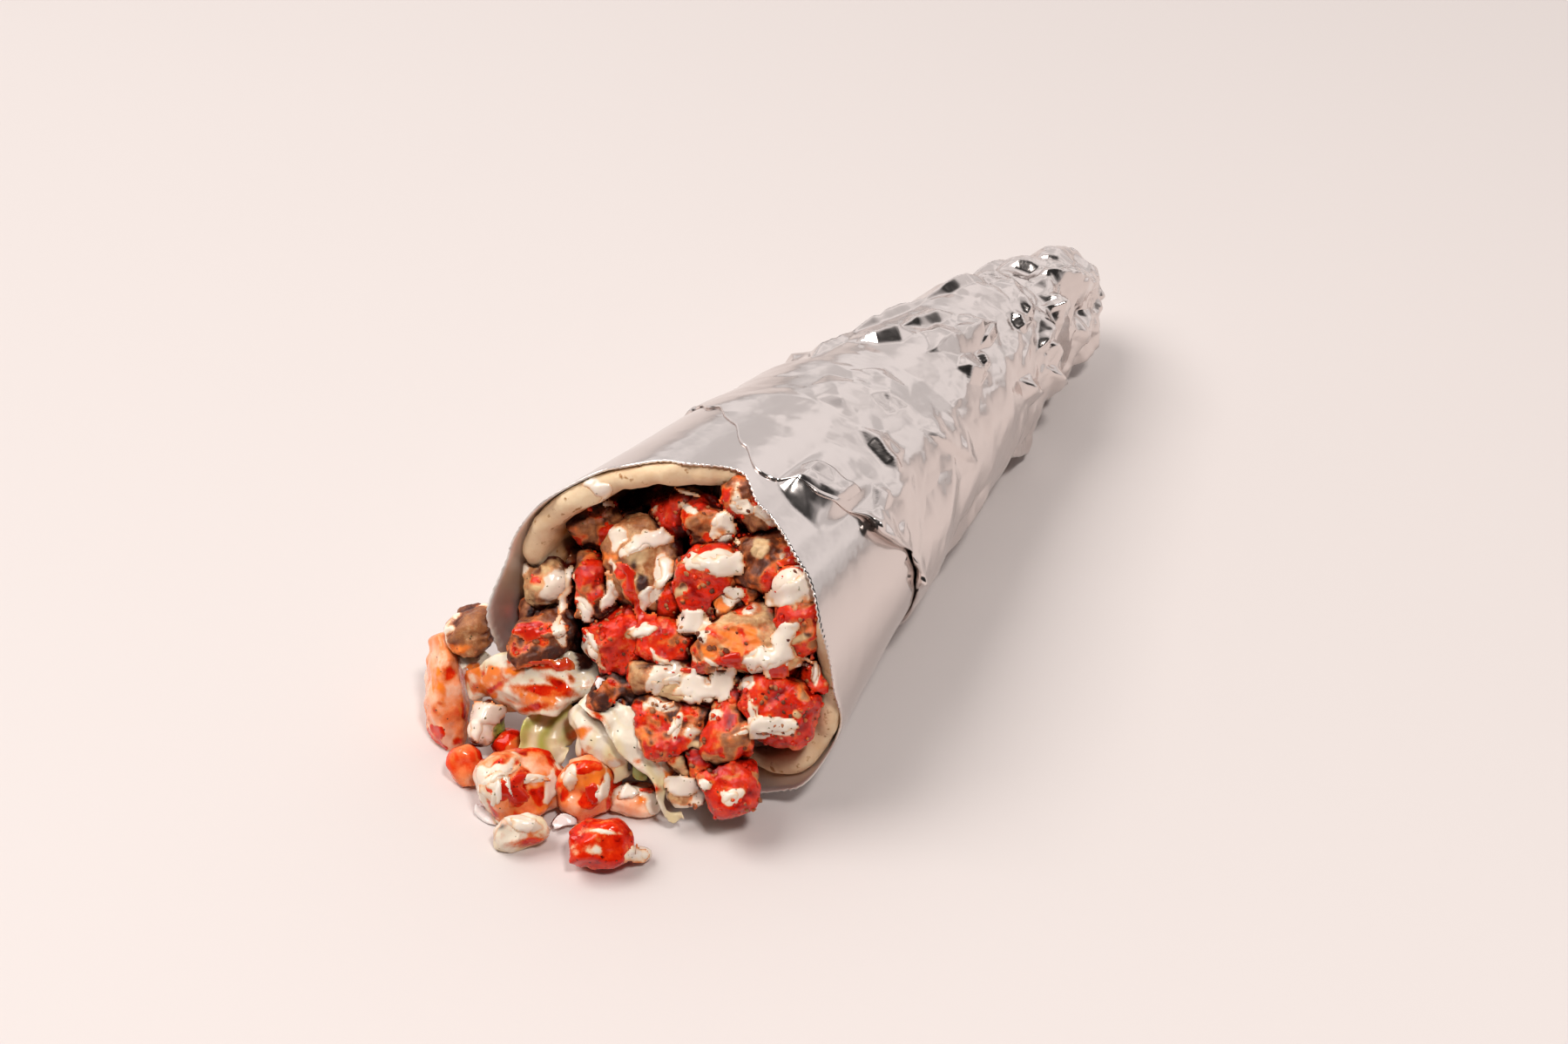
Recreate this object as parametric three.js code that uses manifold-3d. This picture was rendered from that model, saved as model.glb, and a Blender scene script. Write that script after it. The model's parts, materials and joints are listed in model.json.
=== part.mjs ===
// A chicken gyro: a pita rolled round browned chicken, tomato, lettuce and sauce, in a foil wrap.
// It lies on its side. The open mouth faces -Y, the pinched foil tail points to +Y, and +Z is up.
import * as THREE from "three";
import { mergeVertices } from "three/addons/utils/BufferGeometryUtils.js";
import Module from "manifold-3d";

const wasm = await Module();
wasm.setup();

// Driving dimensions, in millimetres and degrees.
const MOUTH_HALF_WIDTH = 42.4;
const MOUTH_HEIGHT = 80;
const MID_Y = 48;
const TAIL_Y = 203;
const FOIL_WALL = 0.8;
const PITA_THICKNESS = 5.4;
const PITA_END_Y = 172;
const CORE_END_Y = 165;
const GAP = 0.5;
const SMOOTHING = 0.3;
const CUTTER_SMOOTHING = 0.3;
const FULLER_IN_MOUTH = 1.2;
const FULLER_SPILLED = 1.1;
const BLOCK_SQUARENESS = 6.5;
const DROP_SQUARENESS = 2.2;
const CUT_FACES = 6;
const DEEPEST_CUT = 0.7;
const SHALLOWEST_CUT = 0.96;
const LUMP_SHARE = 0.045;
const LUMPS_ROUND = 3.4;
const LEAST_TILT = -14;
const MOST_TILT = 14;
const REST_SHARE = 0.42;
const ABOVE_GROUND = 0.02;
const LEAF_THICKNESS = 0.9;
const LIP_BULGE = 5.5;
const LIP_ANGLE = -34;
const LIP_SPREAD = 22;
const LIP_LENGTH = 40;

// The wrap's section along its length: place, half width, height above its centre, height of its
// centre and depth below its centre, the last four as shares of the mouth's half width and half height.
// The weight of the filling flattens the underside wherever the depth reaches the ground.
const SECTIONS = [
  [-24, 1.03, 1.05, 1.03, 1.07],
  [MID_Y, 0.86, 0.87, 0.9, 0.94],
  [96, 0.645, 0.71, 0.8, 0.84],
  [144, 0.45, 0.57, 0.68, 0.71],
  [PITA_END_Y, 0.345, 0.45, 0.58, 0.52],
  [190, 0.27, 0.33, 0.5, 0.36],
  [TAIL_Y, 0.18, 0.24, 0.46, 0.24],
];

// Where the foil's edge, the pita's edge and the edge of the foil's outer layer lie along the wrap,
// by the angle round it: 0 is the right side, 90 the top, 180 the left side and 270 the bottom.
const FOIL_EDGE = [
  [0, 7], [20, 7], [42, 12], [66, 16], [80, 22], [100, 16], [120, 10],
  [144, -1], [168, -4], [192, -13], [225, -12], [262, -8], [300, -3], [318, 0], [338, 11],
];
const PITA_EDGE = [
  [0, 10], [18, 9], [34, 20], [48, 27], [64, 28], [78, 23], [86, 20], [94, 17], [104, 13],
  [120, 9], [140, 1], [168, -2], [188, 2], [240, 4], [288, 6], [304, 4.5], [318, 3], [335, 8],
];
const OVERLAP_EDGE = [
  [0, 52], [12, 50], [35, 40], [58, 30], [76, 25], [88, 32], [100, 39], [118, 47], [140, 54], [180, 60],
  [250, 64], [300, 60], [345, 55],
];

// The pita is open at the lower left, between its two ends.
const PITA_FIRST_ANGLE = -72;
const PITA_LAST_ANGLE = 187;

// The mouth is looked into from its front right and above, from this far away.
// Across, up and out in the lists below are millimetres seen from there, from the mouth's centre;
// out is towards the looker from the sloping face of the mouth.
const LOOK_ROUND = 33;
const LOOK_DOWN = 40;
const LOOK_DISTANCE = 600;
const MOUTH_CENTRE = new THREE.Vector3(0, 0, 40);
const FACE_FORWARD = 3.5;
const FACE_SLOPE_UP = 0.44;
const FACE_SLOPE_RIGHT = 0.152;

const PALE_FOIL = "#d7cdcb";
const BAKED_PITA = "#d9bd92";
const FILLING_BROWN = "#7c3b1d";
const CHICKEN_BROWN = "#a2572b";
const CHICKEN_RED = "#a8431f";
const SAUCED_CREAM = "#e6d6bd";
const TOMATO_RED = "#c2412a";
const LETTUCE_GREEN = "#c9c98a";
const CUCUMBER_GREEN = "#8fa05a";
const ONION_WHITE = "#e3dccb";
const CARROT_ORANGE = "#cf6a25";

const radians = THREE.MathUtils.degToRad;
const lerp = THREE.MathUtils.lerp;
const smoothstep = THREE.MathUtils.smoothstep;

const outward = new THREE.Vector3(
  Math.sin(radians(LOOK_ROUND)) * Math.cos(radians(LOOK_DOWN)),
  -Math.cos(radians(LOOK_ROUND)) * Math.cos(radians(LOOK_DOWN)),
  Math.sin(radians(LOOK_DOWN)),
);
const across = new THREE.Vector3(Math.cos(radians(LOOK_ROUND)), Math.sin(radians(LOOK_ROUND)), 0);
const upward = new THREE.Vector3().crossVectors(outward, across);

// A repeatable stream of numbers between 0 and 1.
function seeded(seed) {
  let state = seed * 2654435761 + 12345;
  return () => {
    state = (Math.imul(state ^ (state >>> 15), 2246822519) + 3266489917) >>> 0;
    return state / 4294967296;
  };
}

// A value read from a list of [angle, value] that runs once round the wrap.
function roundTheWrap(list, degrees) {
  const angle = THREE.MathUtils.euclideanModulo(degrees, 360);
  const after = list.findIndex((entry) => entry[0] > angle);
  const next = after < 0 ? [list[0][0] + 360, list[0][1]] : list[after];
  const last = after < 0 ? list[list.length - 1] : list[after - 1];
  return lerp(last[1], next[1], smoothstep(angle, last[0], next[0]));
}

// The wrap's smooth section at a place along it.
function sectionAt(y) {
  const after = Math.max(1, SECTIONS.findIndex((entry) => entry[0] >= y));
  const [from, to] = y > TAIL_Y ? SECTIONS.slice(-2) : [SECTIONS[after - 1], SECTIONS[after]];
  const part = THREE.MathUtils.clamp((y - from[0]) / (to[0] - from[0]), 0, 1);
  return {
    halfWidth: lerp(from[1], to[1], part) * MOUTH_HALF_WIDTH,
    above: (lerp(from[2], to[2], part) * MOUTH_HEIGHT) / 2,
    centre: (lerp(from[3], to[3], part) * MOUTH_HEIGHT) / 2,
    below: (lerp(from[4], to[4], part) * MOUTH_HEIGHT) / 2,
  };
}

// How far the mouth's lower right lip bulges out of the section.
function lipBulge(y, degrees) {
  const angle = THREE.MathUtils.euclideanModulo(degrees + 180, 360) - 180;
  const round = Math.exp(-(((angle - LIP_ANGLE) / LIP_SPREAD) ** 2));
  return (LIP_BULGE * round * Math.max(0, MID_Y - y)) / LIP_LENGTH;
}

// A point on the wrap's section, set in from the inner skin of the foil by the given depth.
function wrapPoint(y, degrees, inset) {
  const section = sectionAt(y);
  const out = lipBulge(y, degrees) - inset;
  const angle = radians(degrees);
  const x = (section.halfWidth + out) * Math.cos(angle);
  const reach = Math.sin(angle) > 0 ? section.above : section.below;
  const z = section.centre + (reach + out) * Math.sin(angle);
  return new THREE.Vector3(x, y, Math.max(z, FOIL_WALL + inset));
}

// A closed solid from rings of points that run round it, with a point at each end.
function solidOfRings(rings, firstPole, lastPole) {
  const columns = rings[0].length;
  const points = [firstPole, ...rings.flat(), lastPole];
  const faces = [];
  const at = (row, column) => 1 + row * columns + (column % columns);
  for (let column = 0; column < columns; column += 1) {
    faces.push(0, at(0, column), at(0, column + 1));
    for (let row = 0; row + 1 < rings.length; row += 1) {
      faces.push(at(row, column), at(row + 1, column), at(row + 1, column + 1));
      faces.push(at(row, column), at(row + 1, column + 1), at(row, column + 1));
    }
    faces.push(points.length - 1, at(rings.length - 1, column + 1), at(rings.length - 1, column));
  }
  return solidOf(points, faces);
}

// A closed solid from two sheets of points that lie on each other: sheet[row][column].
function solidOfSheets(front, back) {
  const rows = front.length;
  const columns = front[0].length;
  const points = [...front.flat(), ...back.flat()];
  const faces = [];
  const at = (row, column) => row * columns + column;
  const behind = rows * columns;
  for (let row = 0; row + 1 < rows; row += 1) {
    for (let column = 0; column + 1 < columns; column += 1) {
      const corners = [at(row, column), at(row, column + 1), at(row + 1, column + 1), at(row + 1, column)];
      const [a, b, c, d] = corners;
      faces.push(a, b, c, a, c, d);
      faces.push(behind + a, behind + c, behind + b, behind + a, behind + d, behind + c);
    }
  }
  const border = [];
  for (let column = 0; column + 1 < columns; column += 1) border.push(at(0, column));
  for (let row = 0; row + 1 < rows; row += 1) border.push(at(row, columns - 1));
  for (let column = columns - 1; column > 0; column -= 1) border.push(at(rows - 1, column));
  for (let row = rows - 1; row > 0; row -= 1) border.push(at(row, 0));
  border.forEach((here, index) => {
    const next = border[(index + 1) % border.length];
    faces.push(here, behind + here, behind + next, here, behind + next, next);
  });
  return solidOf(points, faces);
}

// The library's solid of some points and triangles, turned to face outwards.
function solidOf(points, faces) {
  const vertProperties = new Float32Array(points.flatMap((point) => [point.x, point.y, point.z]));
  const build = (triVerts) => {
    const mesh = new wasm.Mesh({ numProp: 3, vertProperties, triVerts: new Uint32Array(triVerts) });
    return new wasm.Manifold(mesh);
  };
  const made = build(faces);
  if (made.volume() > 0) return made;
  const turned = [];
  for (let index = 0; index < faces.length; index += 3) {
    turned.push(faces[index], faces[index + 2], faces[index + 1]);
  }
  return build(turned);
}

// The largest of a solid's separate bodies.
function largestBody(solid, name) {
  const bodies = solid.decompose();
  if (!bodies.length) throw new Error(name + " is hidden by its neighbours");
  return bodies.reduce((best, body) => (body.volume() > best.volume() ? body : best));
}

// Foil: a crumpled shell with a slanting edge, a step where its outer layer ends and a pinched tail.
const FOIL_COLUMNS = 44;
const FOIL_BODY_ROWS = 10;
const HIDDEN_ROWS = [MID_Y, 96, 144];
const STEP_HEIGHT = 1.2;
const CREASE_COUNT = 46;
const PINCH_DEPTH = 2.2;
const PLEATS = 7;
const TAIL_TIP = 1.5;

// Folds as short ridges on the foil, more of them and longer towards the tail.
function makeCreases() {
  const random = seeded(11);
  const creases = [];
  for (let index = 0; index < CREASE_COUNT; index += 1) {
    const towardsTail = Math.sqrt(random());
    creases.push({
      y: lerp(50, TAIL_Y - 6, towardsTail),
      degrees: random() * 360,
      halfLength: lerp(12, 30, random()),
      slant: lerp(-0.9, 0.9, random()) * lerp(1, 0.35, towardsTail),
      halfWidth: lerp(4.5, 8, random()),
      height: lerp(0.8, 2.2, random()),
    });
  }
  return creases;
}
const creases = makeCreases();

// How far the foil stands out from its smooth skin.
function foilRelief(y, degrees) {
  const radius = sectionAt(y).above;
  const arc = (to) => radians(THREE.MathUtils.euclideanModulo(degrees - to + 180, 360) - 180) * radius;
  let relief = 0;
  for (const crease of creases) {
    const along = (y - crease.y) * Math.cos(crease.slant) + arc(crease.degrees) * Math.sin(crease.slant);
    const aside = arc(crease.degrees) * Math.cos(crease.slant) - (y - crease.y) * Math.sin(crease.slant);
    const ends = Math.max(0, 1 - Math.abs(along) / crease.halfLength);
    const ridge = Math.max(0, 1 - Math.abs(aside) / crease.halfWidth);
    relief = Math.max(relief, crease.height * ridge * Math.sqrt(ends));
  }
  const pleats = 0.5 + 0.5 * Math.cos(radians(degrees * PLEATS + 40 * Math.sin(radians(degrees * 2))));
  const pinch = PINCH_DEPTH * smoothstep(y, 140, 190) * pleats;
  const edge = roundTheWrap(OVERLAP_EDGE, degrees);
  const stepShare = smoothstep(Math.cos(radians(degrees - 10)), 0.2, 0.8);
  const step = y > edge ? STEP_HEIGHT * stepShare : 0;
  const calm = smoothstep(y, edge - 5, edge + 6);
  const underside = smoothstep(Math.cos(radians(degrees - 90)), -0.98, -0.86);
  return (relief * calm + pinch + step) * underside;
}

function foilOuterPoint(y, degrees, grow) {
  const skin = wrapPoint(y, degrees, -FOIL_WALL);
  const relief = foilRelief(y, degrees) + grow;
  const angle = radians(degrees);
  skin.x += relief * Math.cos(angle);
  skin.z += relief * Math.sin(angle);
  skin.z = Math.max(skin.z, -grow);
  return skin;
}

function makeFoil(grow) {
  const tailCentre = sectionAt(TAIL_Y).centre;
  const angles = Array.from({ length: FOIL_COLUMNS }, (_, column) => (column * 360) / FOIL_COLUMNS);
  const ringOf = (point) => angles.map(point);
  const rings = [];
  for (let row = 0; row <= FOIL_BODY_ROWS; row += 1) {
    rings.push(ringOf((angle) => {
      const start = roundTheWrap(OVERLAP_EDGE, angle) + STEP_HEIGHT / 2;
      return foilOuterPoint(lerp(TAIL_Y, start, row / FOIL_BODY_ROWS), angle, grow);
    }));
  }
  for (const share of [1, 0.66, 0.33, 0.05]) {
    rings.push(ringOf((angle) => {
      const start = roundTheWrap(FOIL_EDGE, angle);
      const end = roundTheWrap(OVERLAP_EDGE, angle) - STEP_HEIGHT / 2;
      return foilOuterPoint(lerp(start, end, share), angle, grow);
    }));
  }
  rings.push(ringOf((angle) => foilOuterPoint(roundTheWrap(FOIL_EDGE, angle) - grow, angle, grow)));
  const innerStart = (angle) => roundTheWrap(FOIL_EDGE, angle) - grow;
  rings.push(ringOf((angle) => wrapPoint(innerStart(angle), angle, grow)));
  rings.push(ringOf((angle) => wrapPoint(lerp(innerStart(angle), MID_Y, 0.4), angle, grow)));
  for (const y of HIDDEN_ROWS) rings.push(ringOf((angle) => wrapPoint(y, angle, grow)));
  rings.push(ringOf((angle) => wrapPoint(PITA_END_Y + GAP, angle, grow)));
  const tail = new THREE.Vector3(0, TAIL_Y + TAIL_TIP + grow, tailCentre);
  const cavityEnd = new THREE.Vector3(0, PITA_END_Y + GAP, sectionAt(PITA_END_Y).centre);
  return solidOfRings(rings, tail, cavityEnd);
}

// Pita: a thick band rolled inside the foil, with a rounded and slightly wavy edge at the mouth.
const PITA_COLUMN_STEP = 9;
const PITA_NEAR_ROWS = [0.5, 0.2];
const RIM_DEPTH = 2.2;
const RIM_SHOULDER = 0.7;
const MEAN_RADIUS_PER_DEGREE = 0.65;

function makePita(grow) {
  const count = Math.round((PITA_LAST_ANGLE - PITA_FIRST_ANGLE) / PITA_COLUMN_STEP);
  const outer = [];
  const inner = [];
  const extra = grow / MEAN_RADIUS_PER_DEGREE;
  for (let column = 0; column <= count; column += 1) {
    const span = lerp(PITA_FIRST_ANGLE - extra, PITA_LAST_ANGLE + extra, column / count);
    const edge = roundTheWrap(PITA_EDGE, span) - grow;
    const wave = 0.35 * Math.sin(radians(span * 9)) + 0.25 * Math.sin(radians(span * 23));
    const thickness = PITA_THICKNESS + wave;
    const point = (y, depth) => wrapPoint(y, span, GAP + depth);
    const near = PITA_NEAR_ROWS.map((share) => lerp(edge, MID_Y, share));
    const rows = [PITA_END_Y, ...HIDDEN_ROWS.toReversed(), ...near, edge + RIM_DEPTH];
    const outerColumn = rows.map((y) => point(y, -grow));
    const innerColumn = rows.map((y) => point(y, thickness + grow));
    const shoulder = edge + RIM_SHOULDER;
    outerColumn.push(point(shoulder, thickness * 0.2 - grow * 0.5), point(edge, thickness * 0.42));
    innerColumn.push(point(shoulder, thickness * 0.8 + grow * 0.5), point(edge, thickness * 0.58));
    outer.push(outerColumn);
    inner.push(innerColumn);
  }
  return solidOfSheets(outer, inner);
}

// The filling's core fills the roll behind the pieces that show.
const CORE_COLUMNS = 30;
const CORE_PITA_COLUMNS = 25;
const CORE_STEP_ANGLE = 1.2;
const CORE_BEHIND = 9;
const CORE_NEAREST = 33;

function coreFront(x, z, grow) {
  const face = FACE_FORWARD + FACE_SLOPE_RIGHT * x + FACE_SLOPE_UP * (z - MOUTH_CENTRE.z);
  const hollowAtTop = 17 * smoothstep(z, 42, 66);
  const spill = 9 * Math.exp(-(((x + 14) / 20) ** 2) - ((z - 14) / 18) ** 2);
  const lumps = 1.3 * Math.sin(x * 0.45 + 1) * Math.sin(z * 0.5);
  return face + CORE_BEHIND + hollowAtTop - spill + lumps - grow;
}

function makeCore(grow) {
  const step = CORE_STEP_ANGLE;
  const inPita = (angle) => angle >= PITA_FIRST_ANGLE - step && angle <= PITA_LAST_ANGLE + step;
  const angles = [PITA_FIRST_ANGLE - 2 * step, PITA_FIRST_ANGLE - step];
  const inside = CORE_PITA_COLUMNS;
  for (let column = 1; column < inside; column += 1) {
    angles.push(lerp(PITA_FIRST_ANGLE, PITA_LAST_ANGLE, column / inside));
  }
  angles.push(PITA_LAST_ANGLE + step, PITA_LAST_ANGLE + 2 * step);
  const open = [PITA_LAST_ANGLE + 2 * step, PITA_FIRST_ANGLE + 360 - 2 * step];
  for (let column = 1; column < CORE_COLUMNS - inside; column += 1) {
    angles.push(lerp(open[0], open[1], column / (CORE_COLUMNS - inside)));
  }
  const insetOf = (angle) => (inPita(angle) ? PITA_THICKNESS + 1.0 + 2 * GAP : GAP) - grow;
  const rowY = [CORE_END_Y, ...HIDDEN_ROWS.toReversed(), 35];
  const rings = rowY.map((y) => angles.map((angle) => wrapPoint(y, angle, insetOf(angle))));
  const middle = sectionAt(0).centre;
  for (const share of [1, 0.8, 0.55, 0.28]) {
    rings.push(angles.map((angle) => {
      const rough = wrapPoint(0, angle, insetOf(angle));
      const near = Math.min(coreFront(rough.x, rough.z, grow), CORE_NEAREST);
      const skin = wrapPoint(near, angle, insetOf(angle));
      const x = skin.x * share;
      const z = middle + (skin.z - middle) * share;
      return new THREE.Vector3(x, Math.min(coreFront(x, z, grow), CORE_NEAREST - grow), z);
    }));
  }
  const front = new THREE.Vector3(0, coreFront(0, middle, grow), middle);
  return solidOfRings(rings, new THREE.Vector3(0, CORE_END_Y, sectionAt(CORE_END_Y).centre), front);
}

// A place on the sloping face of the mouth, as it is seen; what would sink rests on the ground.
function seenPlace([right, up, out], restHeight) {
  const slopes = new THREE.Vector3(FACE_SLOPE_RIGHT, -1, FACE_SLOPE_UP);
  const flat = new THREE.Vector3().addScaledVector(across, right).addScaledVector(upward, up);
  const toFace = -(FACE_FORWARD + slopes.dot(flat)) / slopes.dot(outward);
  let nearer = toFace + out;
  const height = (distance) =>
    MOUTH_CENTRE.z + flat.z * (1 - distance / LOOK_DISTANCE) + outward.z * distance;
  if (height(nearer) < restHeight) nearer += (restHeight - height(nearer)) / outward.z;
  return MOUTH_CENTRE.clone()
    .addScaledVector(flat, 1 - nearer / LOOK_DISTANCE)
    .addScaledVector(outward, nearer);
}

// How far a block reaches in a direction, from its middle to a plane that touches it.
function blockReach(way, power) {
  const other = power / (power - 1);
  const sum = Math.abs(way.x) ** other + Math.abs(way.y) ** other + Math.abs(way.z) ** other;
  return sum ** (1 / other);
}

// A torn or cut piece: a block with soft lumps, its corners and sides broken by flat cut faces.
function pieceShape(piece, seed, grow) {
  const random = seeded(seed);
  const [width, height, depth] = piece.size.map((length) => length / 2 + grow);
  const ball = new THREE.IcosahedronGeometry(1, 1);
  ball.deleteAttribute("normal");
  ball.deleteAttribute("uv");
  const merged = mergeVertices(ball, 1e-4);
  const corners = merged.getAttribute("position");
  const waves = Array.from({ length: 4 }, () => ({
    way: new THREE.Vector3(random() - 0.5, random() - 0.5, random() - 0.5).normalize(),
    phase: random() * 6.3,
  }));
  const power = piece.square ?? BLOCK_SQUARENESS;
  const cuts = Array.from({ length: power > DROP_SQUARENESS ? CUT_FACES : 0 }, () => {
    const way = new THREE.Vector3(random() - 0.5, random() - 0.5, random() - 0.5).normalize();
    return { way, reach: blockReach(way, power) * lerp(DEEPEST_CUT, SHALLOWEST_CUT, random()) };
  });
  const points = [];
  for (let index = 0; index < corners.count; index += 1) {
    const point = new THREE.Vector3().fromBufferAttribute(corners, index);
    const sum = Math.abs(point.x) ** power + Math.abs(point.y) ** power + Math.abs(point.z) ** power;
    let bump = 1;
    for (const wave of waves) bump += LUMP_SHARE * Math.sin(LUMPS_ROUND * point.dot(wave.way) + wave.phase);
    point.multiplyScalar(bump / sum ** (1 / power));
    for (const cut of cuts) {
      const over = point.dot(cut.way) - cut.reach;
      if (over > 0) point.addScaledVector(cut.way, -over);
    }
    points.push(point.multiply(new THREE.Vector3(width, height, depth)));
  }
  return { points, faces: Array.from(merged.index.array) };
}

// Turns a shape that faces the looker into the wrap's own axes and puts it in its place.
function placed(shape, piece, seed) {
  const random = seeded(seed + 500);
  const tilt = new THREE.Euler(
    radians(lerp(LEAST_TILT, MOST_TILT, random())),
    radians(lerp(LEAST_TILT, MOST_TILT, random())),
    radians(piece.turn ?? 0),
  );
  const seen = new THREE.Matrix4().makeBasis(across, upward, outward);
  const turn = seen.multiply(new THREE.Matrix4().makeRotationFromEuler(tilt));
  const rest = REST_SHARE * Math.min(...piece.size);
  const centre = seenPlace(piece.at, rest);
  return shape.points.map((point) => point.clone().applyMatrix4(turn).add(centre));
}

// A piece as a solid, kept above the ground.
function pieceSolid(piece, seed, grow) {
  const shape = pieceShape(piece, seed, grow);
  const points = placed(shape, piece, seed);
  for (const point of points) point.z = Math.max(point.z, ABOVE_GROUND - grow);
  let solid = solidOf(points, shape.faces);
  (piece.sauce ?? []).forEach((dab, index) => {
    const drop = { ...dab, square: DROP_SQUARENESS };
    const dabShape = pieceShape(drop, seed + 70 + index, grow);
    const dabPoints = placed(dabShape, drop, seed + 70 + index);
    solid = solid.add(solidOf(dabPoints, dabShape.faces));
  });
  return solid;
}

// A leaf or shred: a thin wavy sheet along a spine, both faces split alike.
function leafSolid(leaf, seed, grow) {
  const spine = leaf.spine.map((entry) => seenPlace(entry, LEAF_THICKNESS));
  const curve = new THREE.CatmullRomCurve3(spine);
  const { rows, columns } = leaf;
  const random = seeded(seed);
  const phase = random() * 6.3;
  const thickness = leaf.thickness ?? LEAF_THICKNESS;
  const front = [];
  const back = [];
  for (let row = 0; row < rows; row += 1) {
    const along = row / (rows - 1);
    const tangent = curve.getTangent(along);
    const centre = curve.getPoint(along);
    if (row === 0) centre.addScaledVector(tangent, -grow);
    if (row === rows - 1) centre.addScaledVector(tangent, grow);
    const side = new THREE.Vector3().crossVectors(tangent, outward).normalize();
    const normal = new THREE.Vector3().crossVectors(side, tangent).normalize();
    const rounded = Math.sqrt(Math.sin(Math.PI * (0.1 + 0.8 * along)));
    const width = lerp(leaf.widths[0], leaf.widths[1], along) * rounded;
    const frontRow = [];
    const backRow = [];
    for (let column = 0; column < columns; column += 1) {
      const aside = (2 * column) / (columns - 1) - 1;
      const ruffle = leaf.ruffle * Math.sin(leaf.waves * 6.283 * along + phase + 1.4 * aside) * aside ** 2;
      const cup = (leaf.cup ?? 0) * aside ** 2;
      const middle = centre.clone().addScaledVector(side, (aside * (width + 2 * grow)) / 2);
      middle.addScaledVector(normal, ruffle + cup);
      const half = thickness / 2 + grow;
      const top = middle.clone().addScaledVector(normal, half);
      const under = middle.clone().addScaledVector(normal, -half);
      const sunk = Math.min(top.z, under.z);
      const lift = Math.max(0, ABOVE_GROUND - grow - sunk);
      top.z += lift;
      under.z += lift;
      frontRow.push(top);
      backRow.push(under);
    }
    front.push(frontRow);
    back.push(backRow);
  }
  return solidOfSheets(front, back);
}

// A piece runs on under its neighbours, so it is larger than what shows of it.
function fuller(piece, share) {
  return { ...piece, size: piece.size.map((length) => length * share) };
}

// The pieces spilled on the ground in front of the mouth, nearest to the looker first.
const SPILLED = [
  { name: "tomato_front", colour: TOMATO_RED, at: [-13.8, -49, 0], size: [14, 9.5, 10],
    square: 5, turn: -3,
    sauce: [{ at: [-6, -50.5, 0], size: [4.5, 3.6, 3] }] },
  { name: "tomato_sauced", colour: TOMATO_RED, at: [-34, -35.6, 6], size: [18, 13, 13], square: 5, turn: -8 },
  { name: "pickle_front", colour: LETTUCE_GREEN, at: [-33, -45.5, 0], size: [12, 7, 7], turn: 14 },
  { name: "tomato_middle", colour: TOMATO_RED, at: [-17.7, -36, 7], size: [13, 13, 12], square: 5, turn: 10 },
  { name: "tomato_pink", colour: TOMATO_RED, at: [-7, -38.5, 5], size: [11, 6, 8], turn: 6 },
  { name: "tomato_left", colour: TOMATO_RED, at: [-46.5, -31, 0], size: [7, 8, 8] },
  { name: "tomato_slice", colour: TOMATO_RED, at: [-50.8, -15.5, -2], size: [8, 28, 18], square: 5, turn: 3 },
  { name: "cucumber_left", colour: CUCUMBER_GREEN, at: [-41.5, -22, 6], size: [7.5, 9, 7],
    square: 3.6, turn: 20 },
  { name: "chicken_grey_cube", colour: CHICKEN_BROWN, at: [-45.3, -1.5, 2], size: [9.5, 10, 10], turn: 10 },
  { name: "tomato_dark", colour: TOMATO_RED, at: [-36.5, -26.5, 4], size: [6.5, 7, 6] },
  { name: "cucumber_front", colour: CUCUMBER_GREEN, at: [-5.5, -31, 8], size: [3.6, 5.2, 4], square: 3.6 },
  { name: "chicken_lip_right", colour: CHICKEN_RED, at: [15, -36, 8], size: [10.5, 11, 10], turn: 10 },
  { name: "chicken_lip_sauced", colour: SAUCED_CREAM, at: [5.5, -36, 8], size: [8.5, 6, 7] },
  { name: "chicken_lip_cube", colour: CHICKEN_RED, at: [8.4, -29.5, 8], size: [7, 7.5, 7] },
  { name: "chicken_pale_cube", colour: SAUCED_CREAM, at: [3.6, -30, 9], size: [5, 5, 5] },
];

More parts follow.
